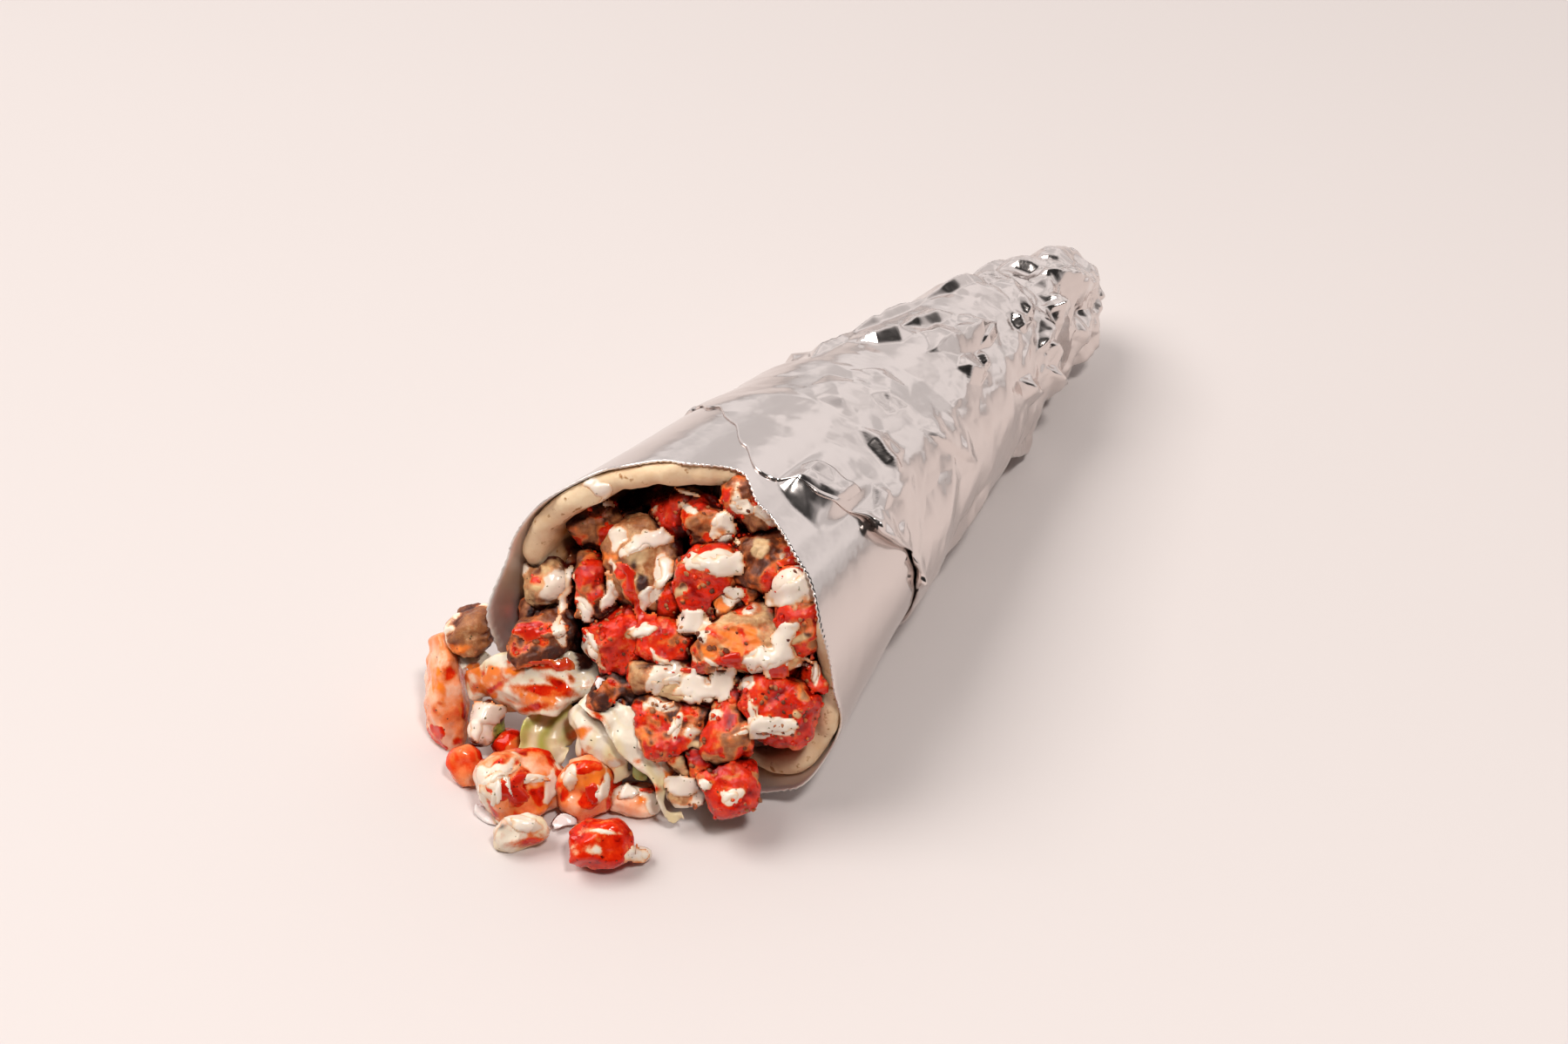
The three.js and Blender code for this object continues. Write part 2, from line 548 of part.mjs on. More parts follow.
// The pieces in the mouth: the lower rows, then the upper rows, set back under the pita's edge.
const IN_THE_MOUTH = [
  { name: "chicken_glossy_right", colour: CHICKEN_RED, at: [26.5, -16.5, 1], size: [14.5, 13, 12], turn: -15,
    sauce: [{ at: [24.5, -21.5, 5], size: [6.5, 4.5, 3.5] }] },
  { name: "chicken_charred", colour: CHICKEN_BROWN, at: [3, -21.5, 5], size: [15, 12.5, 12], turn: 8 },
  { name: "chicken_pale_red", colour: CHICKEN_RED, at: [14.5, -21.5, 4], size: [10, 14, 11], turn: -8 },
  { name: "chicken_dark_left", colour: CHICKEN_BROWN, at: [-10.5, -14, 5], size: [10, 8.5, 9], turn: -10 },
  { name: "chicken_cream_band", colour: SAUCED_CREAM, at: [8.5, -11.5, 2], size: [24, 8.5, 10],
    square: 4.5, turn: -4 },
  { name: "chicken_right_edge", colour: CHICKEN_RED, at: [34, -9, -4], size: [6, 9, 8] },
  { name: "chicken_big_cut", colour: CHICKEN_BROWN, at: [-28.5, -3, 4], size: [14, 10, 11], turn: 12,
    sauce: [{ at: [-26, 0.5, 9], size: [8, 3, 3] }] },
  { name: "chicken_middle_left", colour: CHICKEN_RED, at: [-10.5, -3, 3], size: [13, 14.5, 12], turn: 16,
    sauce: [{ at: [-15, -1, 7], size: [4, 8, 4] }] },
  { name: "chicken_middle", colour: CHICKEN_RED, at: [2, -2.2, 2], size: [12, 9.5, 10], turn: -6 },
  { name: "chicken_middle_right", colour: CHICKEN_RED, at: [20, -1.5, 1], size: [21, 11.5, 12],
    square: 5, turn: 4,
    sauce: [
      { at: [23, -5, 6], size: [10, 4.5, 4] },
      { at: [8, 2.5, 4], size: [7, 5, 4] },
    ] },
  { name: "chicken_far_right", colour: CHICKEN_RED, at: [34, -2, -5], size: [7, 7.5, 8] },
  { name: "chicken_right_sauced", colour: CHICKEN_RED, at: [32.5, 5, -2], size: [11, 14, 11], turn: 10,
    sauce: [{ at: [30.5, 11.5, 1], size: [10, 8, 6] }] },
  { name: "chicken_ring", colour: SAUCED_CREAM, at: [15.6, 8, 1], size: [6, 5.5, 6] },
  { name: "chicken_dark_middle", colour: CHICKEN_RED, at: [19.5, 9.5, -3], size: [7, 9, 8] },
  { name: "chicken_sauced_block", colour: CHICKEN_RED, at: [10.8, 11.5, -1], size: [12.5, 14, 12], square: 5,
    sauce: [{ at: [11.5, 16.5, 2], size: [12, 6.5, 8] }] },
  { name: "chicken_small_red", colour: CHICKEN_RED, at: [3, 8, -3], size: [6.5, 7.5, 8] },
  { name: "chicken_tilted_pale", colour: SAUCED_CREAM, at: [-4.5, 15.5, -3], size: [14, 16.5, 13],
    square: 5, turn: 28 },
  { name: "chicken_left_red", colour: CHICKEN_RED, at: [-16, 11, -2], size: [8, 12, 10], turn: -8,
    sauce: [{ at: [-19, 5, 3], size: [5.5, 5, 4] }] },
  { name: "chicken_left_pale", colour: SAUCED_CREAM, at: [-26.5, 11.5, -5], size: [9, 11, 10], turn: 12,
    sauce: [{ at: [-22, 11, 0], size: [3.5, 11, 4], turn: 12 }] },
  { name: "chicken_left_crumb", colour: CHICKEN_BROWN, at: [-31, 4.5, -2], size: [5.5, 5, 6] },
  { name: "chicken_right_dark", colour: CHICKEN_BROWN, at: [24.5, 17.5, -6], size: [13, 12, 12] },
  { name: "chicken_red_dab", colour: CHICKEN_RED, at: [12, 24, -7], size: [10.5, 10, 11],
    sauce: [{ at: [12.5, 25, -1], size: [4.6, 4.6, 3.5] }] },
  { name: "chicken_roasted_top", colour: CHICKEN_BROWN, at: [-15, 24, -9], size: [10, 10, 11], turn: 18 },
  { name: "chicken_olive_top", colour: CHICKEN_BROWN, at: [-7, 24.5, -15], size: [8, 6, 9] },
  { name: "chicken_white_top", colour: CHICKEN_RED, at: [2.5, 27, -11], size: [10, 8, 10],
    sauce: [{ at: [3, 29, -6], size: [7, 3.6, 4] }] },
  { name: "chicken_top_right", colour: CHICKEN_BROWN, at: [19, 32, -6], size: [8.5, 8, 9],
    sauce: [{ at: [22.5, 27, -4], size: [10, 7, 6], turn: -40 }] },
  { name: "chicken_top_strip", colour: CHICKEN_BROWN, at: [13.8, 33, -13], size: [4.5, 8, 8] },
];

// Onion slivers and a carrot strip, which lie on what is round them.
const SLIVERS = [
  { name: "onion_front", colour: ONION_WHITE, spine: [[-27, -44.5, 0], [-24, -43.5, 0], [-21, -43.5, 0]],
    widths: [3.2, 3.2], ruffle: 0.3, waves: 1, rows: 6, columns: 4, thickness: 1.1 },
  { name: "onion_left", colour: ONION_WHITE, spine: [[-44, -41, 3], [-41, -42, 3], [-38, -43, 3]],
    widths: [3, 3], ruffle: 0.3, waves: 1, rows: 6, columns: 4, thickness: 1.1 },
  { name: "onion_middle", colour: ONION_WHITE, spine: [[-15.5, -11, 9], [-13.5, -13, 10], [-13, -16, 10]],
    widths: [2.6, 2.6], ruffle: 0.3, waves: 1, rows: 6, columns: 4, thickness: 1 },
  { name: "carrot_strip", colour: CARROT_ORANGE, spine: [[-0.5, 34.2, -9], [4, 35, -9], [8.5, 34.6, -9]],
    widths: [1.5, 1.5], ruffle: 0.1, waves: 1, rows: 6, columns: 4, thickness: 1.1 },
];

// Lettuce hangs out of the mouth over the foil's lower left edge.
const LEAVES = [
  { name: "lettuce_ribbon", colour: LETTUCE_GREEN,
    spine: [
      [-17, -14.5, 8.5], [-12, -19, 11], [-7, -23.5, 12], [-3, -29.5, 12], [0.5, -35, 11], [3, -41.5, 9],
    ],
    widths: [9, 6.5], ruffle: 1.2, waves: 1.5, rows: 10, columns: 5, cup: 0.8 },
  { name: "lettuce_arch", colour: LETTUCE_GREEN,
    spine: [[-19.5, -17, 6], [-17.5, -21, 10], [-14.5, -26, 12], [-11.5, -30, 12], [-9.5, -34.5, 9]],
    widths: [12, 17], ruffle: 1.4, waves: 1.2, rows: 9, columns: 5, cup: -3 },
  { name: "lettuce_big", colour: LETTUCE_GREEN,
    spine: [[-16, -12, 3], [-23, -11.5, 8.5], [-31, -12, 11], [-39, -13.5, 9], [-45, -17, 3.5]],
    widths: [14, 19], ruffle: 2, waves: 1.4, rows: 11, columns: 6, cup: -3 },
  { name: "lettuce_inner", colour: LETTUCE_GREEN,
    spine: [[-21.5, -17, 1], [-25, -21, 3.5], [-27.5, -26, 5.5], [-27, -31.5, 5]],
    widths: [14, 11], ruffle: 1.8, waves: 1.6, rows: 8, columns: 5, cup: 1.2 },
  { name: "lettuce_scrap", colour: LETTUCE_GREEN, spine: [[-47, -6, 0], [-43, -8.5, 2], [-39, -10.5, 3]],
    widths: [6, 6], ruffle: 1, waves: 1.2, rows: 6, columns: 4 },
];

const gyro = new THREE.Group();
gyro.name = "chicken_gyro";

// Adds a solid to the group as a named mesh.
function addNode(name, solid, colour, roughness, metalness) {
  const mesh = solid.getMesh();
  const geometry = new THREE.BufferGeometry();
  const corners = [];
  for (const corner of mesh.triVerts) {
    for (let axis = 0; axis < 3; axis += 1) corners.push(mesh.vertProperties[corner * mesh.numProp + axis]);
  }
  geometry.setAttribute("position", new THREE.Float32BufferAttribute(corners, 3));
  geometry.computeVertexNormals();
  const material = new THREE.MeshStandardMaterial({ color: colour, roughness, metalness });
  const node = new THREE.Mesh(geometry, material);
  node.name = name;
  gyro.add(node);
}

const foil = makeFoil(0);
const pita = makePita(0);
const core = makeCore(0);
let taken = makeFoil(GAP).add(makePita(GAP)).add(makeCore(GAP));

addNode("foil_wrap", foil, PALE_FOIL, 0.3, 0.9);
addNode("pita", pita, BAKED_PITA, 0.85, 0);
addNode("filling_core", core, FILLING_BROWN, 0.7, 0);

const builders = [
  ...SLIVERS.map((sliver) => [sliver, leafSolid]),
  ...SPILLED.map((piece) => [fuller(piece, FULLER_SPILLED), pieceSolid]),
  ...LEAVES.map((leaf) => [leaf, leafSolid]),
  ...IN_THE_MOUTH.map((piece) => [fuller(piece, FULLER_IN_MOUTH), pieceSolid]),
];
builders.forEach(([item, build], index) => {
  const whole = build(item, index + 1, 0);
  const left = largestBody(whole.subtract(taken).simplify(SMOOTHING), item.name);
  taken = taken.add(build(item, index + 1, GAP).simplify(CUTTER_SMOOTHING));
  addNode(item.name, left, item.colour, 0.5, 0);
});

// The origin is at the middle of the bottom of the whole.
const box = new THREE.Box3().setFromObject(gyro);
gyro.position.set(-(box.min.x + box.max.x) / 2, -(box.min.y + box.max.y) / 2, -box.min.z);

export default gyro;
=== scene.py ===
# A chicken gyro in its foil wrap, lying on its side with its filling spilling from the mouth.
import itertools
import json
import math

import bmesh
import bpy
import numpy as np
from mathutils import Matrix, Vector
from mathutils.bvhtree import BVHTree

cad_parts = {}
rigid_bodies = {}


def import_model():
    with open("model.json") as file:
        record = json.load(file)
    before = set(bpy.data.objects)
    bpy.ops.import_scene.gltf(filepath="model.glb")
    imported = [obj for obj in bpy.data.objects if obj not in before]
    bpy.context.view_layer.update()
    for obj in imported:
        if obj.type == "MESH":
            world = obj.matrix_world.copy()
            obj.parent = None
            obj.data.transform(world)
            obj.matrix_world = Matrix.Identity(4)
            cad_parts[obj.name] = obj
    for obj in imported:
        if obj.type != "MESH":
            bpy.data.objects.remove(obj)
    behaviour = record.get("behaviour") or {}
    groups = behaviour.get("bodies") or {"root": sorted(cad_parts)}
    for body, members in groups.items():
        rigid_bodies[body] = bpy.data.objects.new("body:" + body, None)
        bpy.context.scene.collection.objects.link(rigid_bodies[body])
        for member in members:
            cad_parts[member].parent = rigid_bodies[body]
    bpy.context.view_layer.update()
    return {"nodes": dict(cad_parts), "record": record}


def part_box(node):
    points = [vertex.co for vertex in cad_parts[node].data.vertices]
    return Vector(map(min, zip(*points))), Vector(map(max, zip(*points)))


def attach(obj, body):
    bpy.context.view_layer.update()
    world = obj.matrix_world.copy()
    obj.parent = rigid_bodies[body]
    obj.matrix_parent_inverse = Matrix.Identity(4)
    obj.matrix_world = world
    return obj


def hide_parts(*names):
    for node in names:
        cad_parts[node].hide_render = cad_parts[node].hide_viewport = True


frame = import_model()

# The looker's eye
# The wrap is looked into from its front right and above, through a short telephoto lens.
# Every length below is in millimetres from the middle of the floor line under the mouth, where
# +Y runs to the tail, and across and up are what the looker sees from the middle of the mouth.
MM = 0.001
FOIL_LEFT_REACH = 42.92
TAIL_TIP = 204.5
MOUTH_CENTRE = np.array([0.0, 0.0, 40.0])
LOOK_ROUND = math.radians(33)
LOOK_DOWN = math.radians(40)
LOOK_DISTANCE = 600.0
LENS = 60.0
SENSOR_WIDTH = 36.0
IMAGE_WIDTH = 1800
IMAGE_HEIGHT = 1199
MOUTH_PIXEL = (762, 726)

foil_low, foil_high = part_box("foil_wrap")
wrap_place = np.array([foil_low.x + FOIL_LEFT_REACH * MM, foil_high.y - TAIL_TIP * MM, 0.0])

toward_eye = np.array([
    math.sin(LOOK_ROUND) * math.cos(LOOK_DOWN),
    -math.cos(LOOK_ROUND) * math.cos(LOOK_DOWN),
    math.sin(LOOK_DOWN),
])
to_right = np.array([math.cos(LOOK_ROUND), math.sin(LOOK_ROUND), 0.0])
to_top = np.cross(toward_eye, to_right)

pixels_per_mm = IMAGE_WIDTH * LENS / SENSOR_WIDTH / LOOK_DISTANCE
eye_across = (IMAGE_WIDTH / 2 - MOUTH_PIXEL[0]) / pixels_per_mm
eye_up = (MOUTH_PIXEL[1] - IMAGE_HEIGHT / 2) / pixels_per_mm
eye = MOUTH_CENTRE + toward_eye * LOOK_DISTANCE + to_right * eye_across + to_top * eye_up


def in_part(points):
    """Millimetres from the mouth as metres in the part's own frame."""
    return np.asarray(points) * MM + wrap_place


camera_data = bpy.data.cameras.new("camera")
camera_data.lens = LENS
camera_data.sensor_width = SENSOR_WIDTH
camera_data.clip_end = 50
camera = bpy.data.objects.new("camera", camera_data)
turned = Matrix((to_right, to_top, toward_eye)).transposed().to_4x4()
camera.matrix_world = Matrix.Translation(in_part(eye)) @ turned
bpy.context.scene.collection.objects.link(camera)
bpy.context.scene.camera = camera
bpy.context.scene.view_settings.view_transform = "Standard"

# Foil wrap
# A sheet of thin kitchen aluminium rolled round the pita, crumpled as it is folded and pinched
# at the tail. The cut edge at the mouth is saw-toothed, and the outer layer laps over the inner one.
SECTIONS = np.array([
    # place, half width, height above the centre, centre, depth below it
    [-24, 1.03, 1.05, 1.03, 1.07],
    [48, 0.86, 0.87, 0.9, 0.94],
    [96, 0.645, 0.71, 0.8, 0.84],
    [144, 0.45, 0.57, 0.68, 0.71],
    [172, 0.345, 0.45, 0.58, 0.52],
    [190, 0.27, 0.33, 0.5, 0.36],
    [203, 0.18, 0.24, 0.46, 0.24],
])
MOUTH_HALF_WIDTH = 42.4
MOUTH_HALF_HEIGHT = 40.0
TAIL_Y = 203.0
BODY_SPAN = (34, 60)
TAIL_SPAN = (125, 170)
FOIL_WALL = 0.8
FOIL_SHEET = 0.3
INNER_SKIN = FOIL_WALL - 0.45
FOIL_COLUMNS = 384
FOIL_ROWS = 248
INNER_ROWS = 46
BACK_ROWS = 40
CLOSER_COLUMNS = 20.0
SHOWN_ANGLE = 55.0
LIP_BULGE = 5.5
LIP_ANGLE = -34
LIP_SPREAD = 22
LIP_END = 48
LIP_FADE = 40

# Where the inner layer is cut and where the outer layer laps over it: angle and place.
FOIL_EDGE = [
    (0, 7), (20, 7), (42, 12), (66, 16), (80, 22), (100, 16), (120, 10), (144, -1), (168, -4),
    (192, -13), (225, -12), (262, -8), (300, -3), (318, 0), (338, 11),
]
OVERLAP_EDGE = [
    (0, 52), (12, 50), (35, 40), (58, 30), (76, 25), (88, 32), (100, 39), (118, 47), (140, 54),
    (180, 60), (250, 64), (300, 60), (345, 55),
]
TOOTH_DEGREES = 2.0
TOOTH_DEPTH = 0.7
LAP_HIDDEN = 9
LAP_WAVES = [(0.4, 11), (0.25, 29)]
LAP_LEAST = 0.12
LAP_MORE = 0.4
LAP_SHOWN_ANGLE = 10
LAP_SHOWN = (0.2, 0.8)
LAP_RIPPLES = 5
LAP_TURNED_UNDER = (0.15, 2, 6, 14, 26)
LAP_EASE = 24
HIDDEN_RINGS = (110.0, 150.0, 172.5)

# Facets of the crumple: their size, their height at the mouth and what body and tail add to it.
CRUMPLES = [(19, 0, 1.1, 1.5), (9, 0.05, 0.4, 2.3), (4.2, 0.02, 0.1, 1.25)]
MOUTH_LIFT = 0.02
BODY_LIFT = 0.55
TAIL_LIFT = 0.6
PINCH_SPAN = (140, 190)
PINCH_HEIGHT = 0.9
PLEATS = 7
PLEAT_SWAY = 40
DEEPEST_DENT = 0.9
DEEPEST_AT_TAIL = 3.0
TAIL_END = 174
UNDERSIDE = (-0.98, -0.86)

# Folds whose near flank turns to the looker and goes dark:
# from (place, angle) to (place, angle), width of the near and the far flank, and height.
FOLDS = [
    (97, 108, 109, 86, 3.6, 4, 2.2), (110, 99, 126, 82, 2.6, 5, 1.6),
    (81, 112, 107, 123, 1.7, 4, 1.4), (104, 125, 132, 107, 1.9, 4, 1.6),
    (128, 110, 156, 90, 1.9, 4, 1.6), (103, 73, 136, 62, 4.2, 8, 2.6),
    (136, 62, 121, 56, 2, 2, 1.6), (121, 56, 118, 44, 2, 2, 1.4), (107, 58, 117, 42, 3.4, 5, 2.0),
    (77, 49, 96, 11, 2.0, 8, 1.2), (60, 66, 59, 40, 2.8, 7, 1.6), (158, 46, 174, 34, 6.5, 4, 3.2),
    (168, 74, 192, 33, 6, 4, 3.0), (159, 36, 145, 28, 3.4, 3, 2.0), (147, 30, 160, 9, 4, 3, 2.2),
    (131, 22, 144, -6, 3.5, 3, 2.0), (146, 14, 165, -25, 3.5, 3, 2.2),
    (187, 101, 179, 60, 4, 3, 2.4), (144, 60, 143, 42, 2.2, 4, 1.4),
    (157, 60, 147, 51, 1.8, 4, 1.1), (35, 46, 51, 8, 3.4, 6, 2.0), (46, 18, 34, 13, 2.6, 5, 1.9),
    (47, 16, 55, -9, 2.2, 4, 1.5), (41, 8, 50, -22, 2, 3, 1.4), (24, 43, 31, 32, 1.2, 5, 0.6),
    (48, 47, 51, 37, 5, 2, 0.6), (66, 36, 50, 39, 6, 9, 0.6), (88, 80, 72, 62, 5, 9, 0.9),
    (74, 94, 60, 72, 5, 9, 0.8), (98, 150, 84, 128, 3, 5, 1.3), (70, 160, 52, 140, 2, 6, 0.9),
    (60, 200, 96, 190, 2, 6, 1.2), (120, 200, 150, 170, 3, 4, 1.8), (150, 150, 180, 120, 3, 4, 2.0),
    (130, 330, 160, 300, 3, 4, 1.8), (80, 330, 110, 345, 3, 6, 1.4),
    (170, 200, 196, 160, 3, 3, 2.0), (170, 300, 196, 350, 3, 3, 2.0),
]
FOLD_TURN = 0.65
FOLD_WANDER = 0.2
FOLD_TAPER = 1.6
FOLD_KINK = 0.25
FOLD_KINK_SIZE = 5
NEAR_FLANK_WIDER = 1.15
FOLD_RISE = 1.35

# The tented fold of the inner layer: where it starts at each angle, the angles over which it opens
# and closes, and how high it rises.
POCKET_START = [(40, 26), (43, 24.5), (60, 23), (70, 26), (73, 27)]
POCKET_OPENS = (44, 53)
POCKET_CLOSES = (64, 70)
POCKET_RISE = 2.8
POCKET_DENTS = 0.16
INNER_DENTS = [(0.1, 16), (0.05, 6)]
BACK_DENTS = (0.1, 9)
# How sharply the finest creases show, which only the material draws.
INNER_CREASES = 0.1
BODY_CREASES = 0.12
TAIL_CREASES = 0.3
CREASED_SPAN = (110, 165)


def round_the_wrap(edge, degrees):
    """A value read from a list of (angle, value) that runs once round the wrap."""
    places = np.array([at for at, _ in edge] + [edge[0][0] + 360.0])
    values = np.array([value for _, value in edge] + [float(edge[0][1])])
    angle = np.mod(degrees, 360)
    after = np.clip(np.searchsorted(places, angle, side="right"), 1, len(places) - 1)
    share = (angle - places[after - 1]) / (places[after] - places[after - 1])
    share = share * share * (3 - 2 * share)
    return values[after - 1] + (values[after] - values[after - 1]) * share


def section_at(y):
    """Half width, height above the centre, centre and depth below it at a place along the wrap."""
    sizes = (MOUTH_HALF_WIDTH, MOUTH_HALF_HEIGHT, MOUTH_HALF_HEIGHT, MOUTH_HALF_HEIGHT)
    return [np.interp(y, SECTIONS[:, 0], SECTIONS[:, k + 1]) * size for k, size in enumerate(sizes)]


def wrap_point(y, degrees, out):
    """Points on the wrap's section, out from the inner skin of the foil by the given depth."""
    half_width, above, centre, below = section_at(y)
    signed = np.mod(degrees + 180, 360) - 180
    lip = LIP_BULGE * np.exp(-(((signed - LIP_ANGLE) / LIP_SPREAD) ** 2))
    lip = lip * np.maximum(0, LIP_END - y) / LIP_FADE
    angle = np.radians(degrees)
    reach = np.where(np.sin(angle) > 0, above, below)
    x = (half_width + lip + out) * np.cos(angle)
    z = centre + (reach + lip + out) * np.sin(angle)
    return np.stack([x, y + 0 * angle, np.maximum(z, FOIL_WALL - out)], axis=-1)


def hashed(cells, seed):
    """A repeatable number from -1 to 1 for each cell of a lattice."""
    cells = cells.astype(np.int64)
    mixed = cells[..., 0] * 73856093 ^ cells[..., 1] * 19349663 ^ cells[..., 2] * 83492791 ^ seed * 2654435
    mixed = ((mixed ^ (mixed >> 13)) * 1274126177) & 0x7FFFFFFF
    mixed = ((mixed ^ (mixed >> 15)) * 668265263) & 0x7FFFFFFF
    return ((mixed >> 7) & 0xFFFF) / 32767.5 - 1


def cloud(points, size, seed):
    """Soft unevenness from -1 to 1, with lumps of the given size."""
    scaled = points / size + seed * 7.31
    cell = np.floor(scaled)
    part = scaled - cell
    soft = part * part * (3 - 2 * part)
    total = np.zeros(points.shape[:-1])
    for corner in itertools.product((0, 1), repeat=3):
        weight = np.prod(np.where(corner, soft, 1 - soft), axis=-1)
        total += weight * hashed(cell + corner, seed)
    return total


def facets(points, size, seed):
    """Flat faces that meet in sharp creases, from -1 to 1, each about the given size."""
    tipped = Matrix.Rotation(0.7, 3, "X") @ Matrix.Rotation(0.5, 3, "Y")
    bent = points + 0.25 * size * cloud(points, 1.7 * size, seed + 9)[..., None]
    scaled = bent @ np.array(tipped) / size + seed * 3.7
    corner = np.floor(scaled).astype(np.int64)
    part = scaled - corner
    order = np.argsort(-part, axis=-1)
    steps = np.take_along_axis(part, order, axis=-1)
    total = hashed(corner, seed) * (1 - steps[..., 0])
    for index in range(3):
        np.put_along_axis(corner, order[..., index:index + 1],
                          np.take_along_axis(corner, order[..., index:index + 1], -1) + 1, -1)
        after = steps[..., index + 1] if index < 2 else 0
        total += hashed(corner, seed) * (steps[..., index] - after)
    return total


def soft_step(value, low, high):
    """0 below low, 1 above high and smooth between."""
    share = np.clip((value - low) / (high - low), 0, 1)
    return share * share * (3 - 2 * share)


def waves(degrees, kinds):
    """Waves round the wrap, each kind given as its height and how many go round."""
    return sum(height * np.sin(np.radians(degrees * count)) for height, count in kinds)


def fold_height(y, degrees, fold, kinks):
    """How far one fold lifts the foil: a kinked ridge with a steep near flank and a gentle far one."""
    y_from, angle_from, y_to, angle_to, near, far, height = fold
    radius = float(section_at(0.5 * (y_from + y_to))[1])
    ahead = np.array([y_to - y_from, math.radians(angle_to - angle_from) * radius])
    length = float(np.hypot(*ahead))
    ahead /= length
    aside = np.array([-ahead[1], ahead[0]])
    if aside[0] + FOLD_TURN * aside[1] > 0:
        aside = -aside
    turn = np.mod(degrees - angle_from + 180, 360) - 180
    place = np.stack([y - y_from, np.radians(turn) * radius])
    along = (place[0] * ahead[0] + place[1] * ahead[1]) / length
    across = place[0] * aside[0] + place[1] * aside[1] + FOLD_WANDER * near * kinks
    ends = np.clip(FOLD_TAPER * (1 - np.abs(2 * along - 1)), 0, 1) * (1 + FOLD_KINK * kinks) + 1e-6
    flank = np.where(across > 0, 1 - across / (NEAR_FLANK_WIDER * near * ends), 1 + across / (far * ends))
    return FOLD_RISE * height * ends * np.clip(flank, 0, 1)


def foil_relief(y, degrees):
    """How far the foil's outer layer stands out from its smooth skin."""
    smooth = wrap_point(y, degrees, FOIL_WALL)
    tail = soft_step(y, *TAIL_SPAN)
    body = soft_step(y, *BODY_SPAN)
    lift = (MOUTH_LIFT + BODY_LIFT * body) * (1 - tail) + TAIL_LIFT * tail
    for seed, (size, at_mouth, on_body, at_tail) in enumerate(CRUMPLES, start=5):
        lift += (at_mouth + on_body * body + at_tail * tail) * facets(smooth, size, seed)
    pleats = np.cos(np.radians(degrees * PLEATS + PLEAT_SWAY * np.sin(np.radians(degrees * 2))))
    lift += PINCH_HEIGHT * soft_step(y, *PINCH_SPAN) * pleats
    folds = np.zeros_like(smooth[..., 0])
    kinks = facets(smooth, FOLD_KINK_SIZE, 8)
    for fold in FOLDS:
        folds = np.maximum(folds, fold_height(y, degrees, fold, kinks))
    deepest = np.where(y > TAIL_END, -DEEPEST_AT_TAIL, -DEEPEST_DENT)
    return np.maximum(lift + folds, deepest) * soft_step(np.cos(np.radians(degrees - 90)), *UNDERSIDE)


def lap_height(degrees):
    """How far the outer layer stands off the inner one at its edge."""
    shown = soft_step(np.cos(np.radians(degrees - LAP_SHOWN_ANGLE)), *LAP_SHOWN)
    rise = 0.5 + 0.5 * np.sin(np.radians(degrees * LAP_RIPPLES + 30)) * np.cos(np.radians(degrees * 2))
    return (LAP_LEAST + LAP_MORE * rise) * shown


def pocket_height(y, degrees):
    """The inner layer rises into a tented fold under the outer layer's edge, above the mouth."""
    first = np.interp(degrees, *zip(*POCKET_START))
    last = round_the_wrap(OVERLAP_EDGE, degrees)
    inside = soft_step(degrees, *POCKET_OPENS) * (1 - soft_step(degrees, *POCKET_CLOSES))
    rise = np.clip((y - first) / np.maximum(last - first, 1), 0, 1.4)
    return POCKET_RISE * rise * inside


def skin_ring(y, out, height):
    """One ring of the foil's columns, raised from the smooth wrap by a height at each column."""
    points = wrap_point(y, ring_angles, out)
    angle = np.radians(ring_angles)
    points[..., 0] += height * np.cos(angle)
    points[..., 2] = np.maximum(points[..., 2] + height * np.sin(angle), 0.0)
    return points


def ring_faces(rows, columns, closed):
    """Four-sided faces between rings of points; closed joins the last ring to the first."""
    faces = []
    for row in range(rows if closed else rows - 1):
        here, ahead = row * columns, ((row + 1) % rows) * columns
        for column in range(columns):
            beside = (column + 1) % columns
            faces.append((here + column, here + beside, ahead + beside, ahead + column))
    return faces


def mesh_piece(name, points, faces):
    """A smooth-shaded mesh object from points in millimetres from the mouth."""
    mesh = bpy.data.meshes.new(name)
    mesh.from_pydata(in_part(points).tolist(), [], faces)
    editing = bmesh.new()
    editing.from_mesh(mesh)
    bmesh.ops.recalc_face_normals(editing, faces=editing.faces)
    editing.to_mesh(mesh)
    editing.free()
    mesh.polygons.foreach_set("use_smooth", [True] * len(mesh.polygons))
    piece = bpy.data.objects.new(name, mesh)
    bpy.context.scene.collection.objects.link(piece)
    return piece


def linear(code):
    """An sRGB hex colour as the linear colour that a shader takes."""
    values = [int(code[k:k + 2], 16) / 255 for k in (1, 3, 5)]
    return [v / 12.92 if v <= 0.04045 else ((v + 0.055) / 1.055) ** 2.4 for v in values] + [1.0]


def node(tree, kind, output=None, inputs=None, stops=None, **settings):
    """Adds a shader node and gives one of its outputs. An input is a value or the socket that feeds
    it, and stops are a ramp's places with their colours."""
    made = tree.nodes.new("ShaderNode" + kind)
    for key, value in settings.items():
        setattr(made, key, value)
    for key, value in (inputs or {}).items():
        if isinstance(value, bpy.types.NodeSocket):
            tree.links.new(value, made.inputs[key])
        else:
            made.inputs[key].default_value = value
    if stops:
        places = sorted(stops)
        ramp = made.color_ramp.elements
        ramp[0].position = places[0]
        ramp[1].position = places[-1]
        for place in places[1:-1]:
            ramp.new(place)
        for element, place in zip(ramp, places):
            element.color = linear(stops[place])
    return None if output is None else made.outputs[output]


def new_material(name):
    """An empty material, its node tree and the place of each point in it."""
    material = bpy.data.materials.new(name)
    material.use_nodes = True
    tree = material.node_tree
    tree.nodes.clear()
    return material, tree, node(tree, "TexCoord", "Object")


def dress(piece, material, slot, *nodes):
    """Gives a piece its material, hangs it on the root body and hides the nodes that it stands for."""
    piece.data.materials.clear()
    piece.data.materials.append(material)
    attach(piece, "root")
    if nodes:
        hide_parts(*nodes)


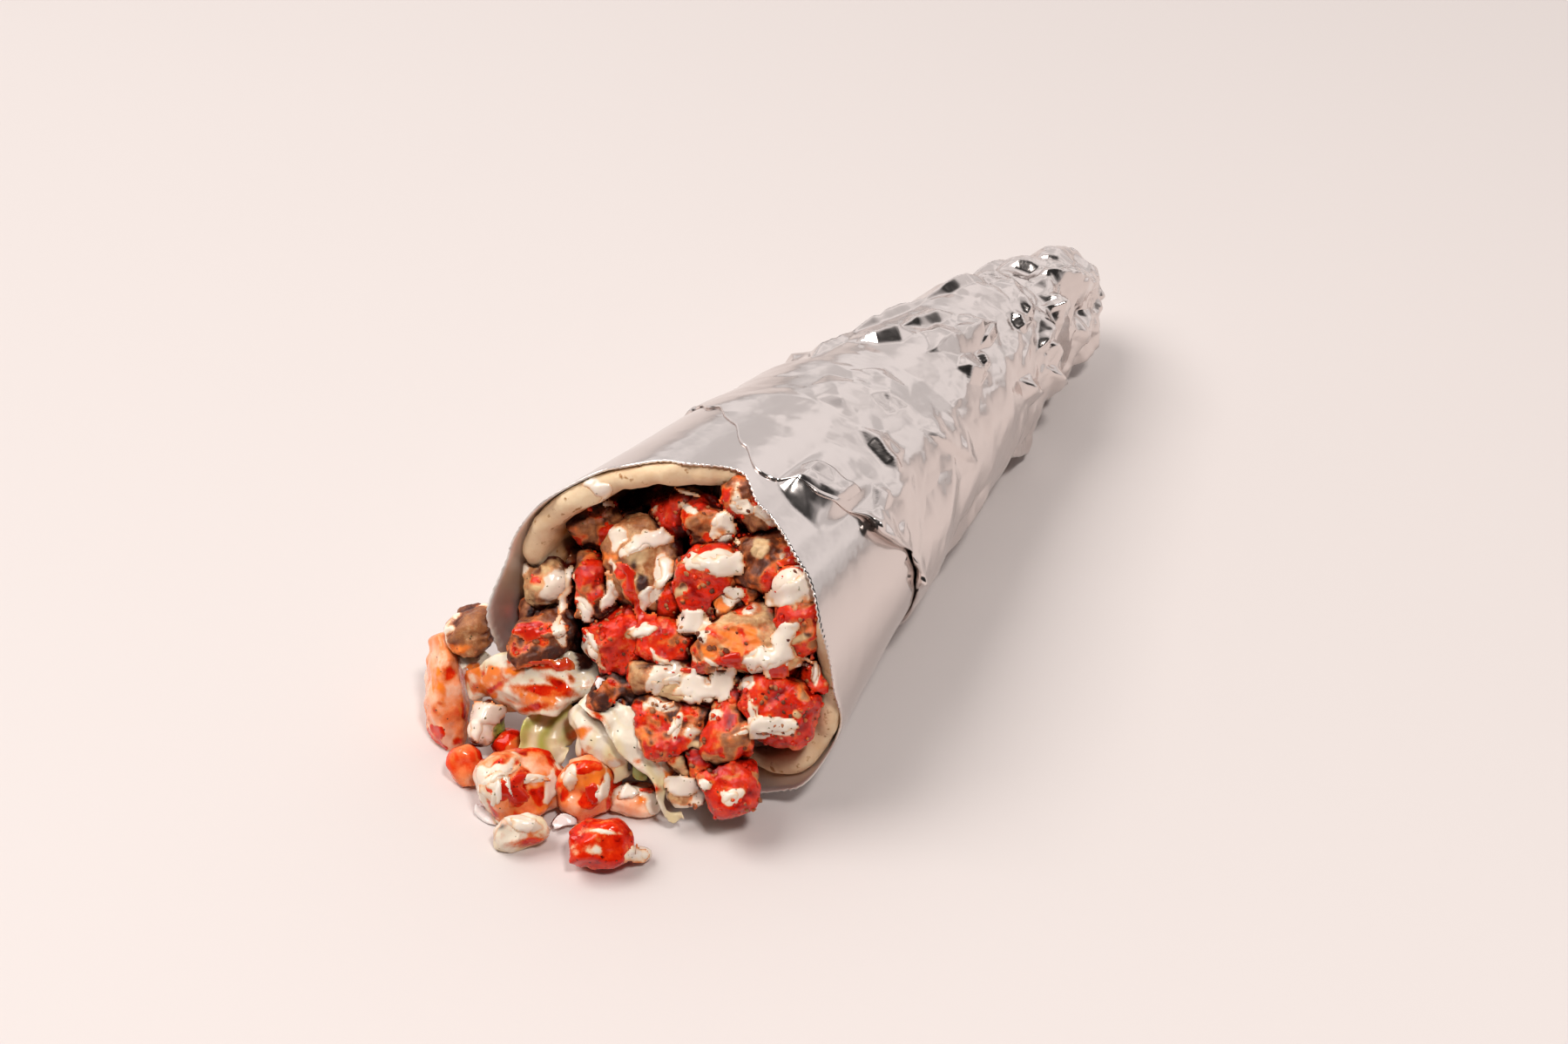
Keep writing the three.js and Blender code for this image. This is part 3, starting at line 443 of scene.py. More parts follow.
def per_metre(size):
    """A pattern's scale from the real size of one of its marks in millimetres."""
    return 1000.0 / size


SCUFF_SIZE = 5
DENT_SIZE = 3
BEND_SIZE = 9
CREASE_SIZE = 5
DENT_DEPTH = 0.06
CREASE_DEPTH = 0.3


def make_kitchen_foil(name, colour, least_rough, most_rough):
    """Rolled aluminium: a mirror gone soft, satin on its dull side, with dents and scuffs from handling."""
    material, tree, place = new_material(name)
    scuffs = node(tree, "TexNoise", "Fac", {"Vector": place, "Scale": per_metre(SCUFF_SIZE), "Detail": 4.0})
    rough = node(tree, "MapRange", "Result", {
        "Value": scuffs, "From Min": 0.3, "From Max": 0.7, "To Min": least_rough, "To Max": most_rough,
    })
    dents = node(tree, "TexNoise", "Fac", {"Vector": place, "Scale": per_metre(DENT_SIZE), "Detail": 1.0})
    dented = node(tree, "Bump", "Normal", {"Height": dents, "Strength": 1.0, "Distance": DENT_DEPTH * MM})
    bends = node(tree, "TexNoise", "Color", {"Vector": place, "Scale": per_metre(BEND_SIZE)})
    bent = node(tree, "Mix", 1, {0: 0.003, 4: place, 5: bends}, data_type="VECTOR")
    creases = node(tree, "TexVoronoi", "Distance", {"Vector": bent, "Scale": per_metre(CREASE_SIZE)})
    crumpled = node(tree, "Attribute", "Fac", attribute_name="crumpled")
    creased = node(tree, "Bump", "Normal", {
        "Height": creases, "Strength": crumpled, "Distance": CREASE_DEPTH * MM, "Normal": dented,
    })
    shader = node(tree, "BsdfPrincipled", "BSDF", {
        "Base Color": linear(colour), "Metallic": 1.0, "Roughness": rough, "Normal": creased,
    })
    node(tree, "OutputMaterial", inputs={"Surface": shader})
    return material


def vertex_values(piece, field):
    """A vector for each vertex of a piece, such as its place or its normal."""
    source = piece.data.vertices if field == "co" else piece.data.vertex_normals
    values = np.zeros(len(piece.data.vertices) * 3)
    source.foreach_get("co" if field == "co" else "vector", values)
    return values.reshape(-1, 3)


def wrap_points(piece):
    """A piece's vertices as millimetres from the mouth."""
    return (vertex_values(piece, "co") - wrap_place) / MM


def set_mask(piece, name, values):
    """Stores one number for each vertex, which the piece's material reads."""
    mask = piece.data.attributes.get(name) or piece.data.attributes.new(name, "FLOAT", "POINT")
    mask.data.foreach_set("value", np.asarray(values, dtype=np.float32))


foil_material = make_kitchen_foil("foil_bright_side", "#dfd5d1", 0.12, 0.19)
dull_foil_material = make_kitchen_foil("foil_dull_side", "#efe6e0", 0.52, 0.62)
even_angles = np.arange(FOIL_COLUMNS) * 360.0 / FOIL_COLUMNS
ring_angles = even_angles - CLOSER_COLUMNS * np.sin(np.radians(even_angles - SHOWN_ANGLE))
overlap = round_the_wrap(OVERLAP_EDGE, ring_angles)
teeth = np.abs(2 * np.mod(ring_angles / TOOTH_DEGREES, 1) - 1)
rim = round_the_wrap(FOIL_EDGE, ring_angles) + TOOTH_DEPTH * teeth


def make_outer_layer():
    """The outer layer, from the pinched tail to its lapped edge and back along its hidden side."""
    wavy = overlap + waves(ring_angles, LAP_WAVES)
    tented = pocket_height(wavy, ring_angles)

    def stand_off(y):
        """How far the layer stands off the inner one near its edge."""
        edge = soft_step(-y, -overlap - LAP_EASE, -overlap - 2)
        tent = soft_step(-y, -overlap - LAP_EASE - 2, -overlap) ** 1.5
        return lap_height(ring_angles) * edge + tented * tent

    rings = []
    for share in np.linspace(0, 1, FOIL_ROWS) ** 1.1:
        y = TAIL_Y + (wavy - TAIL_Y) * share
        rings.append(skin_ring(y, FOIL_WALL, foil_relief(y, ring_angles) + stand_off(y)))
    for depth in LAP_TURNED_UNDER:
        rings.append(skin_ring(wavy + depth, FOIL_WALL, stand_off(wavy + depth) - FOIL_SHEET))
    for y in HIDDEN_RINGS:
        rings.append(wrap_point(np.full(FOIL_COLUMNS, y), ring_angles, FOIL_SHEET))
    points = np.concatenate(rings)
    faces = ring_faces(len(rings), FOIL_COLUMNS, False)
    end_y = HIDDEN_RINGS[-1]
    ends = [[0, TAIL_TIP, section_at(TAIL_Y)[2]], [0, end_y, section_at(end_y)[2]]]
    count = len(points)
    last = count - FOIL_COLUMNS
    for column in range(FOIL_COLUMNS):
        beside = (column + 1) % FOIL_COLUMNS
        faces.append((count, beside, column))
        faces.append((count + 1, last + column, last + beside))
    return mesh_piece("foil_outer_layer", np.concatenate([points, np.array(ends)]), faces)


def make_inner_layer():
    """The inner layer, from the saw-toothed edge at the mouth to where the outer layer covers it."""
    length = overlap + LAP_HIDDEN - rim

    def tented(y, smooth):
        """The height of the tented fold, a little dented."""
        return pocket_height(y, ring_angles) * (1 + POCKET_DENTS * facets(smooth, FOLD_KINK_SIZE, 23))

    rings = []
    for share in np.linspace(0, 1, INNER_ROWS):
        y = rim + length * share
        smooth = wrap_point(y, ring_angles, INNER_SKIN)
        height = tented(y, smooth)
        for seed, (rise, size) in enumerate(INNER_DENTS, start=21):
            height += rise * (1 + facets(smooth, size, seed))
        rings.append(skin_ring(y, INNER_SKIN, height))
    dent, dent_size = BACK_DENTS
    for share in np.linspace(1, 0, BACK_ROWS):
        y = rim + 0.05 + length * share
        smooth = wrap_point(y, ring_angles, INNER_SKIN - FOIL_SHEET)
        height = dent * facets(smooth, dent_size, 24) * soft_step(share, 0, 0.1)
        rings.append(skin_ring(y, INNER_SKIN - FOIL_SHEET, height + tented(y, smooth) - 0.05))
    faces = ring_faces(len(rings), FOIL_COLUMNS, True)
    return mesh_piece("foil_inner_layer", np.concatenate(rings), faces)


inner_layer = make_inner_layer()
outer_layer = make_outer_layer()
set_mask(inner_layer, "crumpled", np.full(len(inner_layer.data.vertices), INNER_CREASES))
creased = soft_step(wrap_points(outer_layer)[:, 1], *CREASED_SPAN)
set_mask(outer_layer, "crumpled", BODY_CREASES + TAIL_CREASES * creased)
dress(outer_layer, foil_material, "foil", "foil_wrap")
dress(inner_layer, foil_material, "foil", "foil_wrap")
inner_layer.data.materials.append(dull_foil_material)
for face in inner_layer.data.polygons:
    face.material_index = int(face.index >= INNER_ROWS * FOIL_COLUMNS)

# Pita
# A soft round flatbread, baked pale with tan blisters, rolled inside the foil round the filling.
# Its edge at the mouth is thick and rounded, and the sauces have stained its inner side.
PITA_THICKNESS = 5.4
PITA_ENDS = (-72.0, 187.0)
PITA_STEP = 1.1
PITA_CLEARANCE = 0.5
PITA_ROWS = [172.0, 140.0, 100.0, 70.0, 54.0, 44.0, 37.0, 32.0]
# Where the edge at the mouth lies: angle and place.
PITA_EDGE = [
    (0, 10), (18, 9), (34, 20), (48, 27), (64, 28), (78, 23), (86, 20), (94, 17), (104, 13),
    (120, 9), (140, 1), (168, -2), (188, 2), (240, 4), (288, 6), (304, 4.5), (318, 3), (335, 8),
]
PITA_EDGE_WAVES = [(0.5, 9), (0.3, 23)]
PITA_THICK_WAVES = [(0.35, 9), (0.25, 23)]
PITA_SWELL = [(0.32, 7), (0.18, 2.6), (0.08, 1.1)]
RIM_DEPTH = 2.4
RIM_TURNS = 13
RIM_RUN = 30
RIM_ROWS = 14
SHORT_RUN_FROM = 26
END_ROUNDING = 3.5
EVEN_FROM = (35, 45)
STAINED_DEPTH = (4.6, 5.8)
STAINED_BEHIND_EDGE = (2, 9)
BLISTERS = (8, 4.0, 0.6)
SPECK_SIZE = 2.4
# Real pores are about a third of this, and are drawn coarser so that they show.
PORE_SIZE = 1.1
PORE_DEPTH = 0.5


def clouds(points, seed, layers):
    """Several clouds in one, each given as its height and the size of its lumps."""
    return sum(height * cloud(points, size, seed + index) for index, (height, size) in enumerate(layers))


def set_wrap_points(piece, points):
    """Moves a piece's vertices to places in millimetres from the mouth."""
    piece.data.vertices.foreach_set("co", in_part(points).ravel())
    piece.data.update()


def make_pita():
    """The rolled flatbread, with a profile that runs back along its outer side and its inner side."""
    spans = np.arange(PITA_ENDS[0], PITA_ENDS[1] + 0.1, PITA_STEP)
    edge = round_the_wrap(PITA_EDGE, spans) + waves(spans, PITA_EDGE_WAVES)
    thickness = PITA_THICKNESS + waves(spans, PITA_THICK_WAVES)
    from_end = np.minimum(spans - spans[0], spans[-1] - spans) / END_ROUNDING
    roundness = np.sqrt(np.clip(1 - (1 - np.clip(from_end, 0, 1)) ** 2, 0.02, 1))
    run = (RIM_RUN - edge) * np.where(edge > SHORT_RUN_FROM, 0.6, 1)
    outer = [np.full_like(spans, y) for y in PITA_ROWS]
    outer += [edge + RIM_DEPTH + run * share for share in np.linspace(1, 0.03, RIM_ROWS)]
    ways = [(way, 0.0) for way in outer]
    for turn in np.linspace(0, math.pi, RIM_TURNS):
        ways.append((edge + RIM_DEPTH * (1 - math.sin(turn)), 0.5 - 0.5 * math.cos(turn)))
    ways += [(way, 1.0) for way in reversed(outer)]
    rings = []
    for column, span in enumerate(spans):
        ys = np.array([way[0][column] for way in ways])
        depth = np.array([0.5 + (way[1] - 0.5) * roundness[column] for way in ways]) * thickness[column]
        rings.append(wrap_point(ys, np.full_like(ys, span), -(PITA_CLEARANCE + depth)))
    count = len(ways)
    faces = ring_faces(len(rings), count, False)
    faces.append(tuple(range(count)))
    faces.append(tuple(reversed(range((len(rings) - 1) * count, len(rings) * count))))
    piece = mesh_piece("pita_bread", np.concatenate(rings), faces)
    points = wrap_points(piece)
    swell = clouds(points, 31, PITA_SWELL) * (1 - soft_step(points[:, 1], *EVEN_FROM))
    set_wrap_points(piece, points + vertex_values(piece, "normal") * swell[:, None])
    return piece


def mottled(tree, place, marks, stops, mask=None, swing=1.0, shift=0.0):
    """A ramp's colours mottled by marks, given as their size in millimetres, detail and roughness. A
    mask that the piece holds moves the colours along the ramp."""
    size, detail, rough = marks
    noise = node(tree, "TexNoise", "Fac", {
        "Vector": place, "Scale": per_metre(size), "Detail": detail, "Roughness": rough,
    })
    level = noise
    if mask:
        held = node(tree, "Attribute", "Fac", attribute_name=mask)
        uneven = node(tree, "Math", 0, {0: noise, 1: swing, 2: shift}, operation="MULTIPLY_ADD")
        level = node(tree, "Math", 0, {0: held, 1: uneven}, operation="ADD")
    return node(tree, "ValToRGB", "Color", {"Fac": level}, stops), noise


def soft_inside(weight, *depths):
    """How much light sinks into a soft thing, and how many millimetres its red, green and blue go."""
    return {
        "Subsurface Weight": weight, "Subsurface Radius": [depth * MM for depth in depths],
        "Subsurface Scale": 1.0,
    }


def make_baked_bread():
    """Soft wheat crumb and skin: cream flour with tan blisters, toasted specks and sauce stains."""
    material, tree, place = new_material("baked_flatbread")
    baked, _ = mottled(tree, place, BLISTERS, {0.36: "#ecd0ac", 0.74: "#dcb184"})
    specks = node(tree, "TexNoise", "Fac", {"Vector": place, "Scale": per_metre(SPECK_SIZE), "Detail": 3.0})
    speckled = node(tree, "MapRange", "Result", {"Value": specks, "From Min": 0.62, "From Max": 0.7})
    toasted = node(tree, "Mix", 2, {0: speckled, 6: baked, 7: linear("#a8713c")}, data_type="RGBA")
    stain = node(tree, "Attribute", "Fac", attribute_name="stain")
    soaked = node(tree, "Mix", 2, {0: stain, 6: toasted, 7: linear("#d9822f")}, data_type="RGBA")
    pores = node(tree, "TexNoise", "Fac", {"Vector": place, "Scale": per_metre(PORE_SIZE), "Detail": 4.0})
    bump = node(tree, "Bump", "Normal", {"Height": pores, "Strength": 0.35, "Distance": PORE_DEPTH * MM})
    shader = node(tree, "BsdfPrincipled", "BSDF", {
        "Base Color": soaked, "Roughness": 0.72, "Normal": bump, **soft_inside(0.1, 3, 2, 1),
    })
    node(tree, "OutputMaterial", inputs={"Surface": shader})
    return material


pita_piece = make_pita()
pita_points = wrap_points(pita_piece)
pita_half_width, pita_above, pita_middle, _ = section_at(pita_points[:, 1])
pita_degrees = np.degrees(np.arctan2(
    (pita_points[:, 2] - pita_middle) / pita_above, pita_points[:, 0] / pita_half_width))
pita_skin = wrap_point(pita_points[:, 1], pita_degrees, 0.0)
pita_depth = np.linalg.norm(pita_points - pita_skin, axis=1)
behind_edge = pita_points[:, 1] - round_the_wrap(PITA_EDGE, pita_degrees)
stain = soft_step(pita_depth, *STAINED_DEPTH)
stain *= soft_step(behind_edge + 2 * cloud(pita_points, 4, 41), *STAINED_BEHIND_EDGE)
stain *= 0.75 + 0.5 * cloud(pita_points, 3, 42)
set_mask(pita_piece, "stain", np.clip(stain, 0, 1))
dress(pita_piece, make_baked_bread(), "pita", "pita")

# Sauces
# Creamy white sauce and red chilli sauce were spooned over the filling in the mouth. They run over
# several pieces at once, so each streak is given where the looker sees it:
# across, up, half length, half width and turn in degrees.
WHITE_STREAKS = [
    (17.5, 28.8, 2.9, 1.9, -10), (23.5, 26.6, 4.6, 1.5, -28), (6, 28.2, 2.3, 0.8, -25),
    (6, 32, 3, 0.8, -12), (13.4, 23.8, 3.6, 3.2, -10), (-4, 20.3, 5.6, 1.9, 18),
    (-0.8, 13.5, 5.2, 1.6, 82), (-4.2, 7.8, 2, 1.5, 60), (-22.2, 13.2, 3.8, 1.1, 78),
    (-23.2, 6.8, 3.2, 1.1, 78), (-18, 4.8, 3.2, 1.6, 110), (-12.6, 8, 3.6, 1.7, 78),
    (-22, 18.3, 1, 0.8, 0), (11.5, 15.7, 5.6, 2.4, -4), (16, 8, 2.1, 1.9, 0),
    (6.6, 2.8, 2.7, 2.2, -30), (8.6, -0.5, 2.4, 1.5, -50), (30.3, 10, 4.6, 4, -15),
    (27.5, -1.6, 3.6, 2, 60), (23.6, -6.2, 4.8, 2.7, 5), (24.2, -10.3, 1.6, 1, 90),
    (11.3, -7.3, 2.2, 0.5, -32), (35, -9.4, 2.7, 0.9, 84), (32, -7.3, 2.2, 0.4, 4),
    (7, -12.4, 4.3, 2.8, 0), (13.6, -11.6, 3.2, 3, -20), (19, -12.2, 2.6, 1.3, 10),
    (1, -11.4, 3.6, 1.4, 8), (0.6, -17.3, 2.4, 1, 4), (24.6, -21.6, 4.7, 2.1, -6),
    (20.4, -18, 3, 0.5, 100), (17.8, -23.2, 2, 0.35, 20), (3, -21.2, 3.2, 1, 72),
    (-16.4, -3.2, 4.4, 1.3, -62), (-5, 0.2, 3, 1.6, 10), (-23.8, 0.2, 2.7, 1.3, 98),
    (-0.3, -7, 2.6, 0.8, -40), (5, -35.6, 4.6, 1.9, -6), (16, -37.6, 2.6, 1.3, 35),
    (-21.3, -33, 2.2, 1.1, 80), (-14, -36.6, 2.6, 1, 62), (-40.5, -18.6, 3.8, 2.5, 8),
    (-43.2, -23.4, 2.6, 1.8, 85), (-38.5, -33.2, 5, 0.8, 30), (-35.4, -36, 0.6, 3.6, 20),
    (-38.6, -37.2, 0.6, 3.2, -10), (-37, -35.8, 3.4, 0.5, -12), (-30, -33.6, 3, 0.8, 0),
    (-41.6, -37.4, 3.4, 0.8, -60), (-8.6, -36.6, 3.4, 1.7, 0), (-5.4, -50.7, 3.2, 2.8, -10),
    (-14, -45.9, 2.6, 0.4, -6), (-33, -43.6, 4, 1.6, -12),
]
RED_STREAKS = [
    (-52.6, -25.6, 2.8, 5.0, 8), (-10.2, 13.6, 2.6, 1.1, -50), (-8, 10.4, 2.6, 1.3, -56),
    (-5.9, 6.7, 2.6, 1.3, -62), (-4.3, 2.8, 2.6, 1.1, -75), (-30.3, 0.9, 5, 1.5, 2),
    (-27.5, -7.6, 5, 0.9, 0), (12.1, -10.6, 2.8, 0.5, 74), (7.5, -7.6, 2.9, 0.8, 10),
    (1.8, -9.2, 1.3, 0.9, 0), (30.8, 15.2, 3.4, 1.2, -8), (26.5, -9.2, 2.6, 1.6, 0),
    (14.5, -6.2, 2.2, 2.2, 0), (-28, -13.3, 6.6, 1.2, -6), (-23.5, -12.4, 3.4, 0.9, -32),
    (-30, -17.3, 2.6, 0.7, 12), (-38.5, -12.5, 2.5, 0.7, 35), (-18.4, -31, 4.2, 1.5, 8),
    (-15, -19.2, 1.4, 0.5, -50), (-36.8, -37, 1.6, 2.3, 0), (-33.5, -38.3, 1.7, 2.8, -8),
    (-33.2, -34.2, 1.4, 1, 0), (-41.5, -32.4, 1.4, 1, 0), (-16.8, -38.4, 2.6, 2, 20),
    (-7.5, -37.8, 0.9, 0.7, 0), (-2.4, -36, 1.3, 0.9, 0), (-31, -48.2, 3, 0.6, 8),
    (-5, 1.4, 1.6, 1.1, 0), (7.2, -38, 1.4, 0.5, 10),
]
ORANGE_STREAKS = [
    (17, -1.2, 5.4, 2.8, 0), (1, -32, 1.6, 4.6, 10), (-51.4, -13, 1.6, 5, 10),
    (-47, -3.6, 2.6, 1, 0), (-14, 17.2, 3.2, 1.6, 0), (12.4, 5.8, 2.6, 1.8, 0),
    (10.6, -3.6, 2.4, 3, 0), (17.5, -4.2, 2.4, 1.6, 0), (12.4, -20.8, 1.4, 3.8, 0),
    (25, 6.6, 1.2, 1.8, 0), (29.8, -14.6, 1.6, 3.6, 10), (-2.7, -13, 1, 3, 0),
    (-31, -14.6, 7.4, 2.8, -6), (-40, -12, 4.6, 3.6, 30), (-43.5, -10.5, 2.6, 3.6, 20),
    (-46, -17.4, 2, 2.6, 0), (-19.4, -23.2, 2.4, 1.3, 20), (-13.6, -32.4, 3, 1.6, 20),
    (-4, -24.4, 4.8, 0.9, -60), (-1.8, -29.6, 2.4, 0.7, -60), (-28, -37, 2.6, 5, 0),
    (-18, -34.4, 3.6, 2.2, 0), (-4.6, -38, 2.2, 1.2, 30), (-37, -43.2, 1.6, 0.6, -50),
    (-30.2, -46.4, 1.2, 2, 0), (23, -29.4, 2, 0.5, 0), (15.5, -33.4, 1.8, 1, -40),
    (-34.4, -9, 3, 1.6, 10),
]
# Dark patches: partly dark browned meat, partly painted shade in the gaps between pieces.
DARK_PATCHES = [
    (-6, -14.6, 4, 2.2, 0), (-18.5, -5, 2.4, 5, 0), (-2, -8.6, 3.4, 1.2, 0), (21, 9, 2, 3.4, 0),
    (18, 21.4, 1.6, 2.6, 0), (-5, 11.6, 1.2, 1.8, 10), (-8, 19, 1.1, 0.9, 0),
    (-4.6, 21.2, 1, 0.7, 0), (-7, 15, 0.9, 1.3, 0), (6.4, -21, 3.2, 2.6, 0),
    (9.2, -19.6, 1.6, 2.4, 0), (15.5, 11.4, 1.3, 2.4, 0), (33.5, 1.5, 1.6, 3, 0),
    (-34, -25.2, 0.8, 0.6, 0), (-37, -44.6, 1.2, 0.5, 35), (16.5, -18, 2, 1.6, 0),
    (-14.6, 6.6, 1.6, 2.6, 0), (-26.5, -4.6, 3.4, 1.6, 0),
]
TAN_PATCHES = [
    (14.6, 24, 1.7, 1.8, 0), (16, 8, 0.9, 0.8, 0), (21, 0, 2.2, 1.1, -8), (-5.6, 17, 3, 1.4, 20),
    (1, -13.6, 3.4, 2.4, 0), (3.7, -29.6, 0.9, 0.9, 0), (7.4, -26, 1.8, 0.8, 10),
    (-8, -0.6, 0.8, 0.8, 0), (4, 9.6, 1.4, 1.6, 0), (22, 19.4, 2.2, 2.6, -20),
    (31.4, -1.4, 3, 0.8, 25), (30.6, -18.8, 1, 1, 0),
]
STREAK_EDGE = [(0.38, 3.4), (0.2, 1.5)]
STREAK_INSET = 0.08
COVER_PATCHES = [(0.5, 5.5), (0.2, 2.2)]
FLOW_PATCHES = [(0.45, 4.2), (0.25, 1.7)]
OIL_PATCHES = [(0.7, 2.2), (0.3, 1.0)]
CHOPPED_LUMPS = [(7.5, 1.5, 61), (3.2, 0.45, 64)]
WHITE_SOFT, RED_SOFT, ORANGE_SOFT, DARK_SOFT, TAN_SOFT = 0.6, 0.4, 1.0, 0.6, 0.4
WHITE_COVER_EDGE = (-0.2, 0.2)
RED_COVER_EDGE = (-0.25, 0.3)
WHITE_THICKNESS = 0.45
RED_THICKNESS = 0.1
WHITE_FILLS = 0.75
RED_FILLS = 0.35
PITTED = (0.1, 0.75)
TUCKED = (0.14, 0.62)
FLOOR_CLEARANCE = 0.02
FEELER_START = 1.7
FEELER_REACH = 7.0
CORNER_SOFTENING = 0.4
SAUCE_GRAINS = {
    # size of the marks in millimetres, detail and roughness
    "ragged": (1.6, 4.0, 0.65), "chilli": (4, 4.0, 0.6), "seeds": (1.3, 3.0, 0.5), "herbs": (1.1, 1.0, 0.5),
}
SAUCE_MASKS = ("white_sauce", "red_sauce", "orange_sauce", "dark", "tan", "pits", "tucked")
BUMP_DEPTH = 0.6


def seen_by_eye(points):
    """How far across and up the looker sees points."""
    away = points - eye
    depth = -(away @ toward_eye)
    across = LOOK_DISTANCE * (away @ to_right) / depth + eye_across
    up = LOOK_DISTANCE * (away @ to_top) / depth + eye_up
    return across, up


def oval_reach(across, up, streak):
    """How far out places lie in a streak's oval, whose edge is at 1."""
    middle_across, middle_up, half_length, half_width, turn = streak
    angle = math.radians(turn)
    along = (across - middle_across) * math.cos(angle) + (up - middle_up) * math.sin(angle)
    aside = (up - middle_up) * math.cos(angle) - (across - middle_across) * math.sin(angle)
    return np.hypot(along / half_length, aside / half_width)


def streak_mask(points, facing, streaks, softness):
    """How much of a sauce lies on each point: ragged ovals, on the side that is turned to the looker."""
    across, up = seen_by_eye(points)
    ragged = clouds(points, 51, STREAK_EDGE) + STREAK_INSET
    mask = np.zeros(len(points))
    for streak in streaks:
        edge = softness / streak[3]
        reach = oval_reach(across, up, streak) + ragged
        mask = np.maximum(mask, 1 - soft_step(reach, 1 - edge, 1 + edge))
    return mask * soft_step(facing, -0.2, 0.2)


def fine_copy(name, cell):
    """A copy of a node's solid with an even skin of small faces, its corners slightly softened."""
    mesh = frame["nodes"][name].data.copy()
    editing = bmesh.new()
    editing.from_mesh(mesh)
    bmesh.ops.remove_doubles(editing, verts=editing.verts, dist=1e-6)
    editing.to_mesh(mesh)
    editing.free()
    piece = bpy.data.objects.new(name + "_piece", mesh)
    bpy.context.scene.collection.objects.link(piece)
    skin = piece.modifiers.new("skin", "REMESH")
    skin.mode = "VOXEL"
    skin.voxel_size = cell * MM
    soften = piece.modifiers.new("soften", "SMOOTH")
    soften.factor = CORNER_SOFTENING
    soften.iterations = 1
    bpy.context.view_layer.update()
    shown = piece.evaluated_get(bpy.context.evaluated_depsgraph_get())
    piece.data = bpy.data.meshes.new_from_object(shown)
    piece.modifiers.clear()
    piece.data.polygons.foreach_set("use_smooth", [True] * len(piece.data.polygons))
    return piece


def facing_of(points, normals):
    """How much each point of a surface is turned to the looker, from -1 to 1."""
    sight = eye - points
    sight /= np.linalg.norm(sight, axis=1)[:, None]
    return np.sum(normals * sight, axis=1)


def warped(points, size, amount, seed):
    """Points moved a little, near ones alike, so that neighbours stay clear of each other."""
    return points + amount * np.stack([cloud(points, size, seed + k) for k in range(3)], axis=-1)


def chopped(points):
    """Cut blocks made as uneven as chopped food."""
    for size, amount, seed in CHOPPED_LUMPS:
        points = warped(points, size, amount, seed)
    return points


def search_tree(skins):
    """Skins, each given as its points and its faces, in one tree that finds what a ray meets."""
    corners, faces = [], []
    for points, skin_faces in skins:
        start = len(corners)
        corners += points.tolist()
        faces += [[start + index for index in face.vertices] for face in skin_faces]
    return BVHTree.FromPolygons(corners, faces)


neighbours = search_tree([
    (chopped(wrap_points(solid)), solid.data.polygons)
    for name, solid in frame["nodes"].items() if name != "foil_wrap"
])
feelers = [Vector(way).normalized() for way in itertools.product((-1, 0, 1), repeat=3) if any(way)]


def tucked_in(points, normals):
    """How far each point lies in a gap between pieces, which sets the painted shade there: the share of
    feelers that meet something near.
    """
    shares = np.zeros(len(points))
    for index, (point, normal) in enumerate(zip(points, normals)):
        way_out = Vector(normal)
        start = Vector(point) + way_out * FEELER_START
        open_ways = [feeler for feeler in feelers if feeler.dot(way_out) > 0.25]
        met = sum(neighbours.ray_cast(start, feeler, FEELER_REACH)[0] is not None for feeler in open_ways)
        shares[index] = met / len(open_ways)
    return shares


def pour_sauces(piece, red_cover, white_cover, seed, relief, thickness=WHITE_THICKNESS, softness=RED_SOFT):
    """Coats a piece: the streaks that cross it, a thin uneven cover and thick white sauce as relief; also
    stores the painted shade for its pits and gaps.
    """
    points = chopped(wrap_points(piece))
    points[:, 2] = np.maximum(points[:, 2], 0.05)
    set_wrap_points(piece, points)
    normals = vertex_values(piece, "normal")
    facing = facing_of(points, normals)
    white = streak_mask(points, facing, WHITE_STREAKS, WHITE_SOFT)
    spread = 0.5 + clouds(points, seed, COVER_PATCHES)
    white = np.maximum(white, soft_step(0.8 * white_cover - spread, *WHITE_COVER_EDGE))
    red = streak_mask(points, facing, RED_STREAKS, softness)
    flow = 0.5 + clouds(points, seed + 40, FLOW_PATCHES)
    red = np.maximum(red, soft_step(red_cover - flow, *RED_COVER_EDGE))
    orange = streak_mask(points, facing, ORANGE_STREAKS, ORANGE_SOFT)
    orange *= np.clip(0.95 + clouds(points, 55, OIL_PATCHES), 0, 1)
    dark = streak_mask(points, facing, DARK_PATCHES, DARK_SOFT)
    tan = streak_mask(points, facing, TAN_PATCHES, TAN_SOFT)
    white *= 1 - tan
    red *= (1 - tan) * (1 - 0.6 * dark)
    broad, fine = relief(points)
    height = broad + fine * (1 - WHITE_FILLS * white) * (1 - RED_FILLS * red)
    height += thickness * soft_step(white, 0.2, 1) + RED_THICKNESS * red
    moved = points + normals * height[:, None]
    moved[:, 2] = np.maximum(moved[:, 2], FLOOR_CLEARANCE)
    set_wrap_points(piece, moved)
    # Painted shade: the low spots of the fine relief, darkened in the material.
    pits = soft_step(-fine, *PITTED)
    # Painted shade: points in the gaps between pieces are darkened in the material and keep less white sauce.
    tucked = soft_step(tucked_in(points, normals), *TUCKED)
    white *= 1 - 0.5 * tucked
    for name, values in zip(SAUCE_MASKS, (white, red, orange, dark, tan, pits, tucked)):
        set_mask(piece, name, values)


